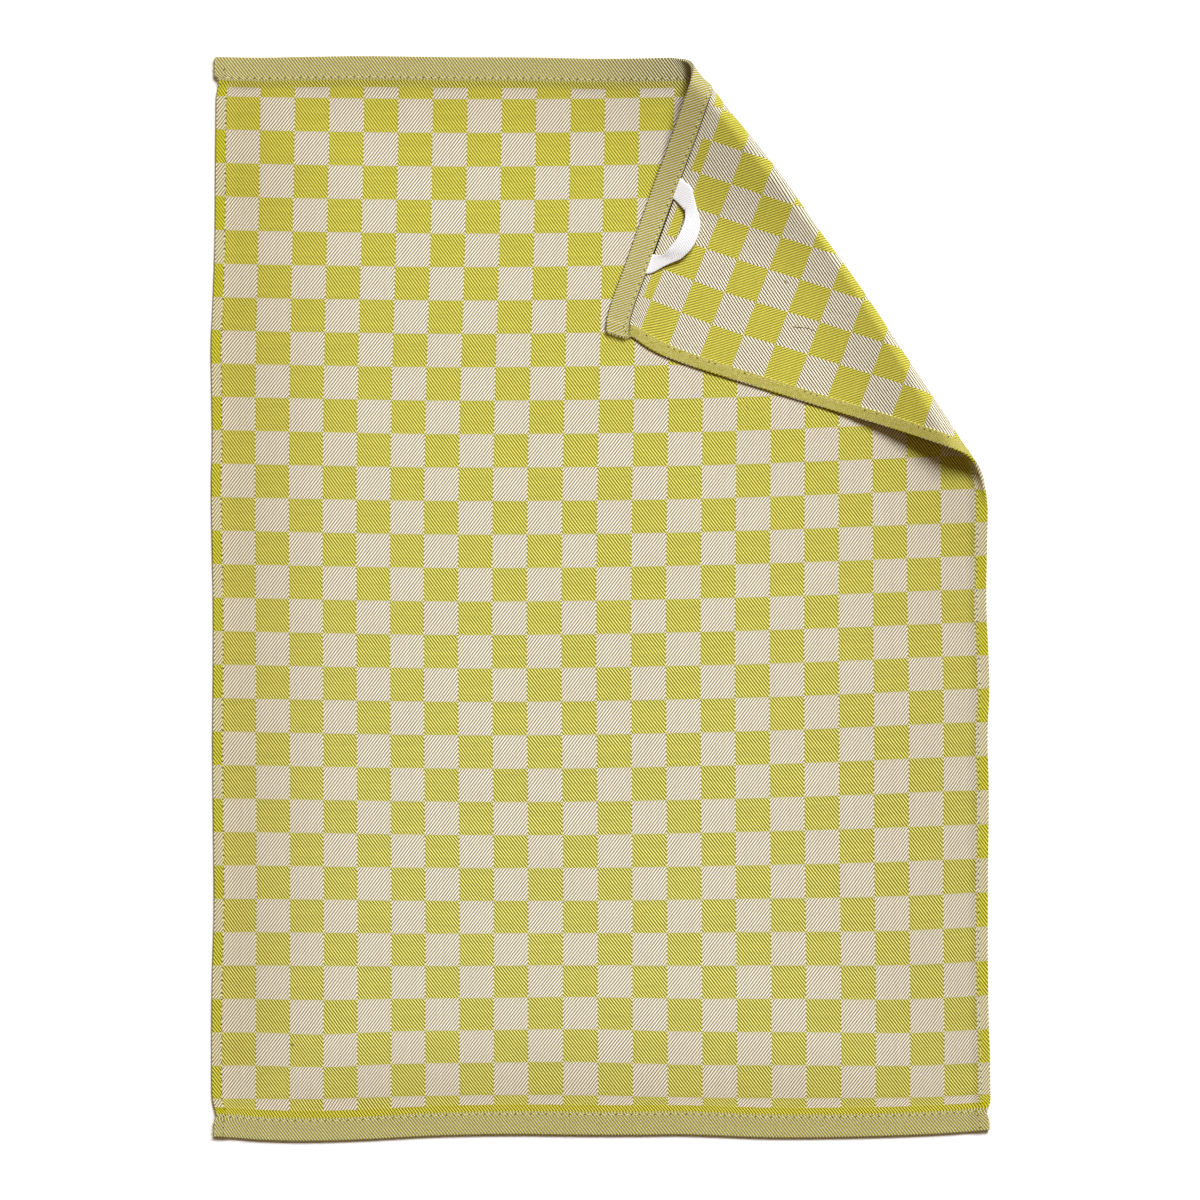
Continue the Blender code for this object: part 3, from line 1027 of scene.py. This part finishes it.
# How strong the painted edge shade is and how far in it reaches: left, right, top and bottom.
EDGE_SHADE_REACH = ((0.95, 62.0), (0.6, 100.0), (0.75, 48.0), (0.9, 52.0))


def painted_edge_shade(at):
    """Painted shade: 1 at the edges of the towel, where less light falls, and 0 well inside."""
    distances = (at.across, WIDTH - at.across, at.down, LENGTH - at.down)
    share = 0.0
    for distance, (amount, reach) in zip(distances, EDGE_SHADE_REACH):
        share = (((distance / reach).power(2.0) * -1.0).exponential() * amount).most(share)
    return share


def yarn_colour(tree, at, beige, light):
    """The colour of the yarn on top, with its painted highlight, or the painted shade of the gap
    beside it.
    """
    crown = ((light - CROWN) / (1.0 - CROWN)).most(0.0)
    green_yarn = blend_colours(tree, crown, GREEN, GREEN_CROWN)
    beige_yarn = blend_colours(tree, crown, BEIGE, BEIGE_CROWN)
    beige_seen = beige * at.hem.between(1.0, at.back.between(*HEM_BEIGE))
    yarn = blend_colours(tree, beige_seen, green_yarn, beige_yarn)
    gap = blend_colours(tree, at.weft_face, UNDER_BEIGE, UNDER_GREEN)
    gap = blend_colours(tree, at.hem.most(at.back), gap, UNDER_HEM)
    colour = blend_colours(tree, light, gap, yarn)
    colour = blend_colours(tree, at.back * (1.0 - at.hem), colour, BACK_TINT, "MULTIPLY")
    # Painted shade: the face is darker and warmer towards its edges.
    edge_shade_share = painted_edge_shade(at) * (1.0 - at.back) * (1.0 - at.hem) * (1.0 - at.side_hem)
    return blend_colours(tree, edge_shade_share, colour, EDGE_SHADE_TINT, "MULTIPLY")


# %% [markdown]
# Small dark places make the sewing believable, all of them painted shade. A needle leaves a hole at
# each end of a stitch, though at the sides many close again, and each open hole gets painted shade.
# On the back a line of shade lies under the turned edge of an end hem, wider between the ends of
# the loop, where the hem gapes a little. Past it the painted shade stays in the gaps between the
# ribs for a short way, like teeth.

# %% Needle holes and the shade of a hem
HOLE = 0.5
# The middle of a hole that is fully dark, as a share of its size.
HOLE_MIDDLE = 0.4
# The share of side holes that gape, on the face and on the back.
SIDE_HOLES = (0.9, 0.3)
SHADE_WIDTH = (0.45, 0.95)
GAPE_AT = 420.0
GAPE_REACH = 21.0
TEETH = 0.8
# What the painted shade leaves of the colour in a hole, in the line of shade and in the teeth.
HOLE_LEFT, SHADE_LEFT, TEETH_LEFT = 0.05, 0.02, 0.2


def needle_holes(beside, past, pitch, gaping=1.0):
    """0 in a needle's hole along a stitch line, 1 elsewhere. Gaping is the share that is seen."""
    from_hole = ((past / pitch + 0.5).fraction() - 0.5) * pitch
    distance = (beside.power(2.0) + from_hole.power(2.0)).power(0.5)
    closed = 1.0 - (past / pitch + 0.5).chance().below(gaping)
    return (distance / HOLE - HOLE_MIDDLE + closed).clipped()


def dark_places(at, light):
    """Painted shade: a factor that is near 0 in the holes and under the hem's edge, and 1 elsewhere.
    """
    gaping = at.back.between(*SIDE_HOLES)
    holes = needle_holes(at.from_side - SIDE_STITCH, at.down, SIDE_PITCH, gaping)
    holes = holes.least(needle_holes(at.from_end - END_STITCH, at.across, END_PITCH))
    width = (at.across - GAPE_AT).size().below(GAPE_REACH).between(*SHADE_WIDTH)
    past_hem = at.from_end - END_HEM
    shade = at.back * past_hem.above(0.0) * past_hem.below(width)
    teeth = at.back * (past_hem - TEETH).size().below(TEETH) * (1.0 - light)
    dark = holes.between(HOLE_LEFT, 1.0) * shade.between(1.0, SHADE_LEFT)
    return dark * teeth.between(1.0, TEETH_LEFT)


# %% The check cotton
# How rough the cotton is in the gaps and on the crowns, and how high its weave stands.
COTTON_ROUGHNESS = (0.98, 0.86)
COTTON_RELIEF = 0.2


def check_cotton():
    """The towel's cloth."""
    material, tree, shader = new_material("check_cotton_woven")
    at = cloth_parts(tree)
    beige, light, relief, tone = weave(tree, at)
    light = open_ribs(at, light)
    colour = yarn_colour(tree, at, beige, light)
    colour = scale_colour(tree, colour, tone * dark_places(at, light))
    feed(tree, colour, shader.inputs["Base Color"])
    feed(tree, light.between(*COTTON_ROUGHNESS), shader.inputs["Roughness"])
    set_shader(shader, Specular_IOR_Level=0.05, Sheen_Weight=0.02, Sheen_Roughness=0.5)
    add_bump(tree, shader, relief * tone, COTTON_RELIEF)
    return material


towel_cloth.data.materials.append(check_cotton())
print("cotton:", len(towel_cloth.data.materials[0].node_tree.nodes), "nodes")

# %% [markdown]
# ## The hanging loop
#
# A flat 10 mm tape leaves the hem, is folded over a slanted crease, bows out over the cloth and
# goes back in across a second crease. We give the tape's two edges at a few places on the flat
# towel, with how far each stands off the cloth, and keep the creases as corners in an otherwise
# smooth run.

# %% The tape's run
TAPE = 0.8
TAPE_WIDTH = 10.0
TAPE_CLEAR = 0.35
TAPE_STEPS = 6
TAPE_ACROSS = 8
# Powers that turn a round section into a flat one, across the tape and through it. 1 is round.
TAPE_FLATNESS = (0.8, 0.45)
# The rows of the run, counted from 0, at which it is creased.
TAPE_CREASES = (2, 7)
# The outer edge and the inner edge on the flat towel, and how far each edge rises.
TAPE_RUN = (
    ((386.5, 12.0), (400.6, 12.0), 0.0, 0.0),
    ((387.9, 17.0), (401.9, 16.5), 0.2, 0.2),
    ((390.2, 24.0), (406.3, 25.5), 1.2, 2.0),
    ((403.6, 33.6), (411.0, 27.2), 3.4, 3.4),
    ((410.9, 38.2), (417.9, 27.6), 4.6, 4.9),
    ((420.9, 39.6), (425.1, 26.8), 5.2, 5.4),
    ((429.2, 38.2), (433.2, 24.0), 4.8, 4.6),
    ((436.5, 34.6), (437.7, 22.1), 3.4, 3.0),
    ((444.4, 25.9), (438.7, 18.3), 1.9, 1.4),
    ((451.4, 18.6), (439.2, 15.6), 0.5, 0.4),
    ((453.6, 12.0), (439.6, 12.0), 0.0, 0.0),
)


def creased_run(values):
    """The run's values at every step: straight up to the creases, curved between them."""
    values = np.asarray(values, float).reshape(len(TAPE_RUN), -1)
    first, second = TAPE_CREASES
    pieces = []
    for low, high in ((0, first), (first, second), (second, len(TAPE_RUN) - 1)):
        stations = np.arange(low, high + 1)
        at = np.linspace(low, high, (high - low) * TAPE_STEPS + 1)
        bent = along(stations, values[low : high + 1], at)
        pieces.append(bent if low == 0 else bent[1:])
    return np.concatenate(pieces)


def flattened(value, power):
    """0 to 1 for a sine or a cosine, drawn towards its ends."""
    return 0.5 + 0.5 * math.copysign(abs(value) ** power, value)


def tape_mesh():
    """A thin band with two faces and rounded edges."""
    outer = creased_run([row[0] for row in TAPE_RUN])
    inner = creased_run([row[1] for row in TAPE_RUN])
    rises = creased_run([row[2:] for row in TAPE_RUN])
    step = np.linalg.norm(np.diff((outer + inner) / 2, axis=0), axis=1)
    run = np.concatenate([[0.0], np.cumsum(step)])
    turns = np.linspace(0, 2 * math.pi, 2 * TAPE_ACROSS, endpoint=False)
    columns, flats = [], []
    for turn in turns:
        across = 1.0 - flattened(math.cos(turn), TAPE_FLATNESS[0])
        level = flattened(math.sin(turn), TAPE_FLATNESS[1])
        flat = outer + (inner - outer) * across
        place, slope, _ = fold_over(lie_uneven(flat))
        place[:, 2] += lift(flat, place)
        rise = rises[:, 0] + (rises[:, 1] - rises[:, 0]) * across
        off = CLOTH / 2 + TAPE_CLEAR + rise + TAPE * level
        columns.append(place - face_normals(slope) * off[:, None])
        flats.append(np.stack([np.full(len(run), TAPE_WIDTH * across), run], axis=1))
    points = np.stack(columns, axis=1).reshape(-1, 3)
    flats = np.stack(flats, axis=1).reshape(-1, 2)
    sides = len(turns)
    faces = []
    for ring in range(len(run) - 1):
        for side in range(sides):
            here, beside = ring * sides + side, ring * sides + (side + 1) % sides
            faces.append([here, beside, beside + sides, here + sides])
    faces.append(list(range(sides))[::-1])
    faces.append([(len(run) - 1) * sides + side for side in range(sides)])
    return points * MM, faces, flats * MM, run[-1]


def face_outwards(piece):
    """Turn a closed mesh's faces outwards."""
    body = bmesh.new()
    body.from_mesh(piece.data)
    bmesh.ops.recalc_face_normals(body, faces=body.faces)
    body.to_mesh(piece.data)
    body.free()


points, faces, flats, tape_length = tape_mesh()
loop_tape = add_piece("loop_tape", points, faces)
map_cloth(loop_tape, flats)
face_outwards(loop_tape)
print("loop: tape of", round(tape_length, 1), "mm")

# %% [markdown]
# The tape is a close, bleached twill. We use the same two groups as for the cloth, with finer
# threads and less unevenness, and keep even the painted shade in the gaps pale, so that the ribs
# hardly show.

# %% White twill tape
TAPE_WARP = 0.3
TAPE_WEFT = 0.36
# Painted shade in the tape's gaps, and the white of its crowns.
TAPE_GAP = (0.66, 0.67, 0.69, 1.0)
TAPE_WHITE = (0.86, 0.865, 0.875, 1.0)
TAPE_ROUGHNESS = (0.95, 0.8)
TAPE_RELIEF = 0.06


def white_tape():
    """Bleached cotton tape, so white that its fine ribs hardly show."""
    material, tree, shader = new_material("white_tape_twill")
    across, down = cloth_place(tree)
    warp, weft = across / TAPE_WARP, down / TAPE_WEFT
    woven = use_group(tree, twill, Warp=warp, Weft=weft, Step=1.0, Under=1.0, Weft_face=0.0)
    tone = use_group(tree, uneven_yarn, Thread=warp, Along=down, Slub=6.0, Amount=0.03)["Tone"]
    colour = blend_colours(tree, woven["Light"], TAPE_GAP, TAPE_WHITE)
    feed(tree, scale_colour(tree, colour, tone), shader.inputs["Base Color"])
    feed(tree, woven["Light"].between(*TAPE_ROUGHNESS), shader.inputs["Roughness"])
    set_shader(shader, Specular_IOR_Level=0.25, Sheen_Weight=0.1)
    add_bump(tree, shader, woven["Relief"], TAPE_RELIEF)
    return material


loop_tape.data.materials.append(white_tape())
print("tape:", len(loop_tape.data.materials[0].node_tree.nodes), "nodes")

# %% [markdown]
# ## Sewing with Geometry Nodes
#
# Every hem is held by one line of machine stitches: on each side of the cloth, a short float of
# thread, a needle hole, the next float. There are over a thousand, so nobody models them one by
# one. A mesh line on the cloth becomes a curve, is cut into equal steps, and gets one small arch
# of thread on each step, turned to the line and to the cloth. The tree ends by making the copies
# real and giving them their material.

# %% Tools for a Geometry Nodes tree
def new_geometry_tree(name, inputs):
    """A tree with one geometry in and out and named inputs."""
    tree = bpy.data.node_groups.new(name, "GeometryNodeTree")
    tree.interface.new_socket("Geometry", in_out="INPUT", socket_type="NodeSocketGeometry")
    tree.interface.new_socket("Geometry", in_out="OUTPUT", socket_type="NodeSocketGeometry")
    for title, kind in inputs.items():
        tree.interface.new_socket(title, in_out="INPUT", socket_type=kind)
    entry, leave = (tree.nodes.new(kind) for kind in ("NodeGroupInput", "NodeGroupOutput"))
    return tree, entry.outputs, leave


def grow(name, base, tree, material, **values):
    """Run a tree on a base mesh and keep the result as a plain mesh object."""
    seed = bpy.data.objects.new(name + "_base", base)
    bpy.context.scene.collection.objects.link(seed)
    modifier = seed.modifiers.new("grow", "NODES")
    modifier.node_group = tree
    given = {**values, "Material": material}
    for item in tree.interface.items_tree:
        if item.in_out == "INPUT" and item.name in given:
            modifier[item.identifier] = given[item.name]
    evaluated = seed.evaluated_get(bpy.context.evaluated_depsgraph_get())
    mesh = bpy.data.meshes.new_from_object(evaluated)
    mesh.name = name
    bpy.data.objects.remove(seed)
    piece = bpy.data.objects.new(name, mesh)
    bpy.context.scene.collection.objects.link(piece)
    return piece


# %% The stitch tree
# A float's arch: how far its feet are under its middle line and its bend above it.
ARCH_FOOT = -0.3
ARCH_BEND = 0.42
ARCH_STEPS = 5
THREAD_SIDES = 5
# The range of a stitch's length, width and height, as shares.
LEAST_STITCH = (0.9, 0.8, 0.8)
MOST_STITCH = (1.06, 1.2, 1.2)


def build_stitches():
    """A float of thread at every point of a line, over the cloth."""
    numbers = {"Float": "NodeSocketFloat", "Thread": "NodeSocketFloat"}
    inputs = {**numbers, "Seed": "NodeSocketInt", "Material": "NodeSocketMaterial"}
    tree, given, leave = new_geometry_tree("Sewn stitches", inputs)
    line = add_node(tree, "GeometryNodeMeshToCurve", Mesh=given["Geometry"])
    spots = add_node(tree, "GeometryNodeCurveToPoints", {"mode": "EVALUATED"}, Curve=line)
    up = add_node(
        tree, "GeometryNodeInputNamedAttribute", {"data_type": "FLOAT_VECTOR"}, Name="cloth_up"
    )
    align = "FunctionNodeAlignRotationToVector"
    on_line = add_node(tree, align, {"axis": "X"}, Vector=spots.outputs["Tangent"])
    upright = {"axis": "Z", "pivot_axis": "X"}
    on_cloth = add_node(tree, align, upright, Rotation=on_line, Vector=up)
    arch = add_node(
        tree,
        "GeometryNodeCurveQuadraticBezier",
        Resolution=ARCH_STEPS,
        Start=(-0.5, 0.0, ARCH_FOOT * MM),
        Middle=(0.0, 0.0, ARCH_BEND * MM),
        End=(0.5, 0.0, ARCH_FOOT * MM),
    )
    half = add_node(tree, "ShaderNodeMath", {"operation": "MULTIPLY"}, Value=given["Thread"])
    half.inputs[1].default_value = 0.5
    ring = add_node(tree, "GeometryNodeCurvePrimitiveCircle", Resolution=THREAD_SIDES, Radius=half)
    longer = add_node(tree, "ShaderNodeCombineXYZ", X=given["Float"], Y=1.0, Z=1.0)
    stretched = add_node(tree, "GeometryNodeTransform", Geometry=arch, Scale=longer)
    thread = add_node(
        tree, "GeometryNodeCurveToMesh", Curve=stretched, Profile_Curve=ring, Fill_Caps=True
    )
    uneven = add_node(
        tree,
        "FunctionNodeRandomValue",
        {"data_type": "FLOAT_VECTOR"},
        Min=LEAST_STITCH,
        Max=MOST_STITCH,
        Seed=given["Seed"],
    )
    copies = add_node(
        tree,
        "GeometryNodeInstanceOnPoints",
        Points=spots,
        Instance=thread,
        Rotation=on_cloth,
        Scale=uneven,
    )
    real = add_node(tree, "GeometryNodeRealizeInstances", Geometry=copies)
    smooth = add_node(tree, "GeometryNodeSetShadeSmooth", Geometry=real)
    finish = add_node(
        tree, "GeometryNodeSetMaterial", Geometry=smooth, Material=given["Material"]
    )
    feed(tree, finish, leave.inputs["Geometry"])
    return tree


stitch_tree = build_stitches()
print("stitch tree:", len(stitch_tree.nodes), "nodes")

# %% Lines to sew along
THREAD = 0.36
THREAD_SINK = 0.05
# How far an end's line of stitches starts from the side, and a side's from the end hem.
END_START = 1.5
SIDE_START = 0.5


def hem_lines(pitch, of_ends):
    """A flat line of stitches along each side or each end, a stitch at every middle of a pitch."""
    size = WIDTH if of_ends else LENGTH
    first = END_START if of_ends else END_HEM + SIDE_START
    middles = np.arange(math.ceil(first / pitch), math.floor((size - first) / pitch)) + 0.5
    along_hem = middles * pitch
    inset = END_STITCH if of_ends else SIDE_STITCH
    other = LENGTH if of_ends else WIDTH
    lines = []
    for place in (inset, other - inset):
        columns = [along_hem, np.full(len(along_hem), place)]
        lines.append(np.stack(columns if of_ends else columns[::-1], axis=1))
    return lines


def surface_lines(lines, on_back):
    """Mesh lines on one side of the cloth, with the way off it at each point."""
    places, ways, edges = [], [], []
    for flat in lines:
        face, back = cloth_sides(flat)
        _, slope, _ = fold_over(lie_uneven(flat))
        way = face_normals(slope) * (-1 if on_back else 1)
        first = sum(len(p) for p in places)
        places.append((back if on_back else face) - way * THREAD_SINK)
        ways.append(way)
        edges += [(first + i, first + i + 1) for i in range(len(flat) - 1)]
    mesh = bpy.data.meshes.new("sewing_lines")
    mesh.from_pydata((np.concatenate(places) * MM).tolist(), edges, [])
    attribute = mesh.attributes.new("cloth_up", "FLOAT_VECTOR", "POINT")
    attribute.data.foreach_set("vector", np.concatenate(ways).astype(np.float32).ravel())
    return mesh


# %% Spun thread
# How fine its two shades mix, how rough each is, and how high the pale one stands.
THREAD_CLOUDS = 900.0
THREAD_ROUGHNESS = (0.55, 0.75)
THREAD_RELIEF = 0.03


def cloudy_finish(name, scale, dark, pale):
    """A material whose colour wanders between two, and the wire that says where."""
    material, tree, shader = new_material(name)
    place = add_node(tree, "ShaderNodeTexCoord").outputs["Object"]
    noise = add_node(tree, "ShaderNodeTexNoise", Vector=place, Scale=scale)
    shade = Wire(tree, noise.outputs["Fac"])
    feed(tree, blend_colours(tree, shade, dark, pale), shader.inputs["Base Color"])
    return material, tree, shader, shade


def thread_finish(name, dark, pale):
    """A spun thread of two shades."""
    material, tree, shader, shade = cloudy_finish(name, THREAD_CLOUDS, dark, pale)
    feed(tree, shade.between(*THREAD_ROUGHNESS), shader.inputs["Roughness"])
    add_bump(tree, shader, shade, THREAD_RELIEF)
    return material


# %% Sew the hems, both sides
# The share of a stitch's pitch that its float fills.
FLOAT_SHARE = 0.86
THREAD_SHADES = ((0.55, 0.50, 0.15, 1.0), (0.82, 0.77, 0.34, 1.0))
pale_thread = thread_finish("sewing_thread", *THREAD_SHADES)
stitches = []
for hem_name, pitch, of_ends in (("side", SIDE_PITCH, False), ("end", END_PITCH, True)):
    for cloth_side in ("face", "back"):
        lines = hem_lines(pitch, of_ends)
        sewn = grow(
            f"{hem_name}_hem_stitches_{cloth_side}",
            surface_lines(lines, cloth_side == "back"),
            stitch_tree,
            pale_thread,
            Float=FLOAT_SHARE * pitch * MM,
            Thread=THREAD * MM,
            Seed=3,
        )
        stitches.append(sewn)
        print(sewn.name, sum(len(line) for line in lines), "stitches")

# %% [markdown]
# ## Loose yarn
#
# Where the end hems are cut off, short ends of yarn work loose. In the cloth itself a slub or a
# knot stands out here and there: a bit of thick, darker yarn. Both are short pieces of yarn
# along a line, so the stitch tree lays them too, with another length and thickness. The places
# of the ends are random, from a fixed seed, and those of the slubs are given.

# %% Ends at the corners and slubs in the cloth
LOOSE_END = 2.8
LOOSE_YARN = 0.3
SLUB = 2.6
SLUB_YARN = 0.6
# Where each slub starts and ends on the flat towel.
SLUBS_FACE = (
    ((343.0, 225.2), (343.5, 225.8)),
    ((52.0, 632.0), (52.6, 632.4)),
    ((271.5, 71.5), (272.0, 72.0)),
)
SLUBS_BACK = (
    ((454.3, 119.0), (452.4, 127.7)),
    ((452.4, 127.7), (452.7, 131.8)),
    ((428.4, 103.4), (428.8, 104.0)),
)
# Where loose ends leave a hem: their spread along its cut end, as shares of it, how far in they
# start, how far they turn either way, and the step that gives their direction.
LOOSE_SPREAD = (0.04, 1.1)
LOOSE_INSET = (0.2, 0.8)
LOOSE_TURN = 0.8
LOOSE_STEP = 0.5


def loose_ends(at_right, at_bottom, count, seed):
    """Short lines that poke out past the cut end of an end hem."""
    draw = np.random.default_rng(seed)
    lines = []
    for share in np.linspace(*LOOSE_SPREAD, count):
        turn = draw.uniform(-LOOSE_TURN, LOOSE_TURN)
        start = np.array([draw.uniform(*LOOSE_INSET), share * END_HEM])
        way = LOOSE_STEP * np.array([math.cos(turn), math.sin(turn)])
        line = np.array([start, start - way])
        if at_right:
            line[:, 0] = WIDTH - line[:, 0]
        if at_bottom:
            line[:, 1] = LENGTH - line[:, 1]
        lines.append(line)
    return lines


def slub_line(start, end):
    """Points close together from start to end."""
    count = 2 + int(math.dist(start, end) / (0.5 * SLUB))
    return np.linspace(start, end, count)


# %% Lay the loose yarn
SLUB_SHADES = ((0.03, 0.02, 0.003, 1.0), (0.30, 0.22, 0.06, 1.0))
slub_finish = thread_finish("slub_yarn", *SLUB_SHADES)
at_folded_corner = loose_ends(at_right=True, at_bottom=False, count=26, seed=41)
at_other_corners = []
for at_right, at_bottom, seed in ((False, False, 42), (False, True, 43), (True, True, 44)):
    at_other_corners += loose_ends(at_right, at_bottom, count=9, seed=seed)
slubs_face = [slub_line(*ends) for ends in SLUBS_FACE]
slubs_back = [slub_line(*ends) for ends in SLUBS_BACK]
loose_kind = (pale_thread, LOOSE_END, LOOSE_YARN)
slub_kind = (slub_finish, SLUB, SLUB_YARN)
for loose_name, lines, on_back, (finish, length, thickness) in (
    ("loose_ends_folded", at_folded_corner, True, loose_kind),
    ("loose_ends_lying", at_other_corners, False, loose_kind),
    ("slubs_face", slubs_face, False, slub_kind),
    ("slubs_back", slubs_back, True, slub_kind),
):
    base = surface_lines(lines, on_back)
    yarn_sizes = {"Float": length * MM, "Thread": thickness * MM}
    laid = grow(loose_name, base, stitch_tree, finish, Seed=8, **yarn_sizes)
    stitches.append(laid)
    print(laid.name, len(lines), "bits of yarn")

# %% [markdown]
# ## Table, light and camera
#
# The photo is lit softly from the upper right: the fold's roll is bright on that side, and the
# flap lays a short brown shadow on the cloth below it. A large far panel and a soft beam from the
# same side make that shadow. What fills it is weak and warm, a faint warm sky and a small warm
# lamp above, so that the shade stays brown and deep. A long lens straight above keeps the towel's
# sides parallel.

# %% White table
TABLE_HALF = 12000.0
TABLE_DROP = 0.2
TABLE_GREYS = (0.93, 0.95)
TABLE_CLOUDS = 3.0


def add_floor():
    """A wide white floor just under the cloth."""
    square = ((-1.0, -1.0), (1.0, -1.0), (1.0, 1.0), (-1.0, 1.0))
    corners = np.array([(TABLE_HALF * x, TABLE_HALF * y, -TABLE_DROP) for x, y in square])
    floor = add_piece("table", corners * MM, [[0, 1, 2, 3]])
    greys = [(shade, shade, shade, 1.0) for shade in TABLE_GREYS]
    material, _, shader, _ = cloudy_finish("white_table", TABLE_CLOUDS, *greys)
    set_shader(shader, Roughness=0.9, Specular_IOR_Level=0.1)
    floor.data.materials.append(material)
    return floor


table = add_floor()
print("table:", 2 * TABLE_HALF * MM, "m wide")

# %% Sky and lamps
SKY = 0.12
SKY_COLOUR = (1.0, 0.62, 0.25)
KEY_COLOUR = (0.97, 1.0, 1.06)
TOP_COLOUR = (1.0, 0.72, 0.40)


def aim_lamp(data, power, colour, turn, angle, distance):
    """Light a lamp and point it at the middle of the towel.

    Turn is from the towel's top end towards its right, and angle is up from the table.
    """
    data.energy = power
    data.color = colour
    turn, angle = math.radians(turn), math.radians(angle)
    lamp = bpy.data.objects.new(data.name, data)
    level = math.cos(angle) * distance
    height = math.sin(angle) * distance
    lamp.location = (level * math.sin(turn), level * math.cos(turn), height)
    lamp.rotation_euler = lamp.location.to_track_quat("Z", "Y").to_euler()
    bpy.context.scene.collection.objects.link(lamp)
    print(lamp.name, "at", [round(part, 2) for part in lamp.location])


def add_panel(name, size, **aim):
    """A square soft lamp."""
    data = bpy.data.lights.new(name, "AREA")
    data.shape = "SQUARE"
    data.size = size
    aim_lamp(data, **aim)


def add_beam(name, radius, spread, **aim):
    """A soft spot that fades towards the rim of its cone."""
    data = bpy.data.lights.new(name, "SPOT")
    data.shadow_soft_size = radius
    data.spot_size = math.radians(spread)
    data.spot_blend = 1.0
    aim_lamp(data, **aim)


def add_sky():
    """An even pale warm sky."""
    world = bpy.data.worlds.new("pale_sky")
    world.use_nodes = True
    background = world.node_tree.nodes["Background"]
    background.inputs["Color"].default_value = (*SKY_COLOUR, 1.0)
    background.inputs["Strength"].default_value = SKY
    bpy.context.scene.world = world


add_sky()
from_right = {"colour": KEY_COLOUR, "turn": 26.0, "angle": 50.0}
add_panel("key_lamp", 6.1, power=3260.0, distance=16.0, **from_right)
add_panel("top_lamp", 0.8, power=1.3, distance=1.2, colour=TOP_COLOUR, turn=0.0, angle=90.0)
add_beam("beam", 1.0, 15.0, power=845.0, distance=6.0, **from_right)

# %% Camera straight above
LENS = 200.0
SENSOR = 36.0
# What the picture shows from side to side, and where on the table its middle is.
FRAME_WIDTH = 773.2
FRAME_CENTRE = (-0.6, -1.3)


def add_camera():
    """Looks straight down, from where the lens takes in the frame's width."""
    data = bpy.data.cameras.new("above")
    data.lens = LENS
    data.sensor_width = SENSOR
    data.clip_end = 50.0
    camera = bpy.data.objects.new("above", data)
    distance = FRAME_WIDTH * LENS / SENSOR
    camera.location = (FRAME_CENTRE[0] * MM, FRAME_CENTRE[1] * MM, distance * MM)
    bpy.context.scene.collection.objects.link(camera)
    bpy.context.scene.camera = camera
    return distance


print("camera:", round(add_camera()), "mm above the table")
bpy.context.scene.view_settings.view_transform = "Standard"

# %% [markdown]
# ## Tell the frame what each piece is
#
# The cloth stands for the towel's solid and the tape for the loop's, so both solids are hidden,
# and the stitches go with the cloth. The table is marked as the backdrop. Then we print how far
# the model's box goes past the solids' box, so that the two can be compared.

# %% Bodies, hidden solids and the backdrop
for piece in (towel_cloth, loop_tape, *stitches):
    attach(piece, "root")
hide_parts("towel")
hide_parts("hanging_loop")
tape_length * MM
table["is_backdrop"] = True

# %% The two boxes
low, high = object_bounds()
grown = [round((a - b) / MM, 2) for a, b in zip([*cad_low, *high], [*low, *cad_high])]
print("past the solids' box, in mm:", grown)
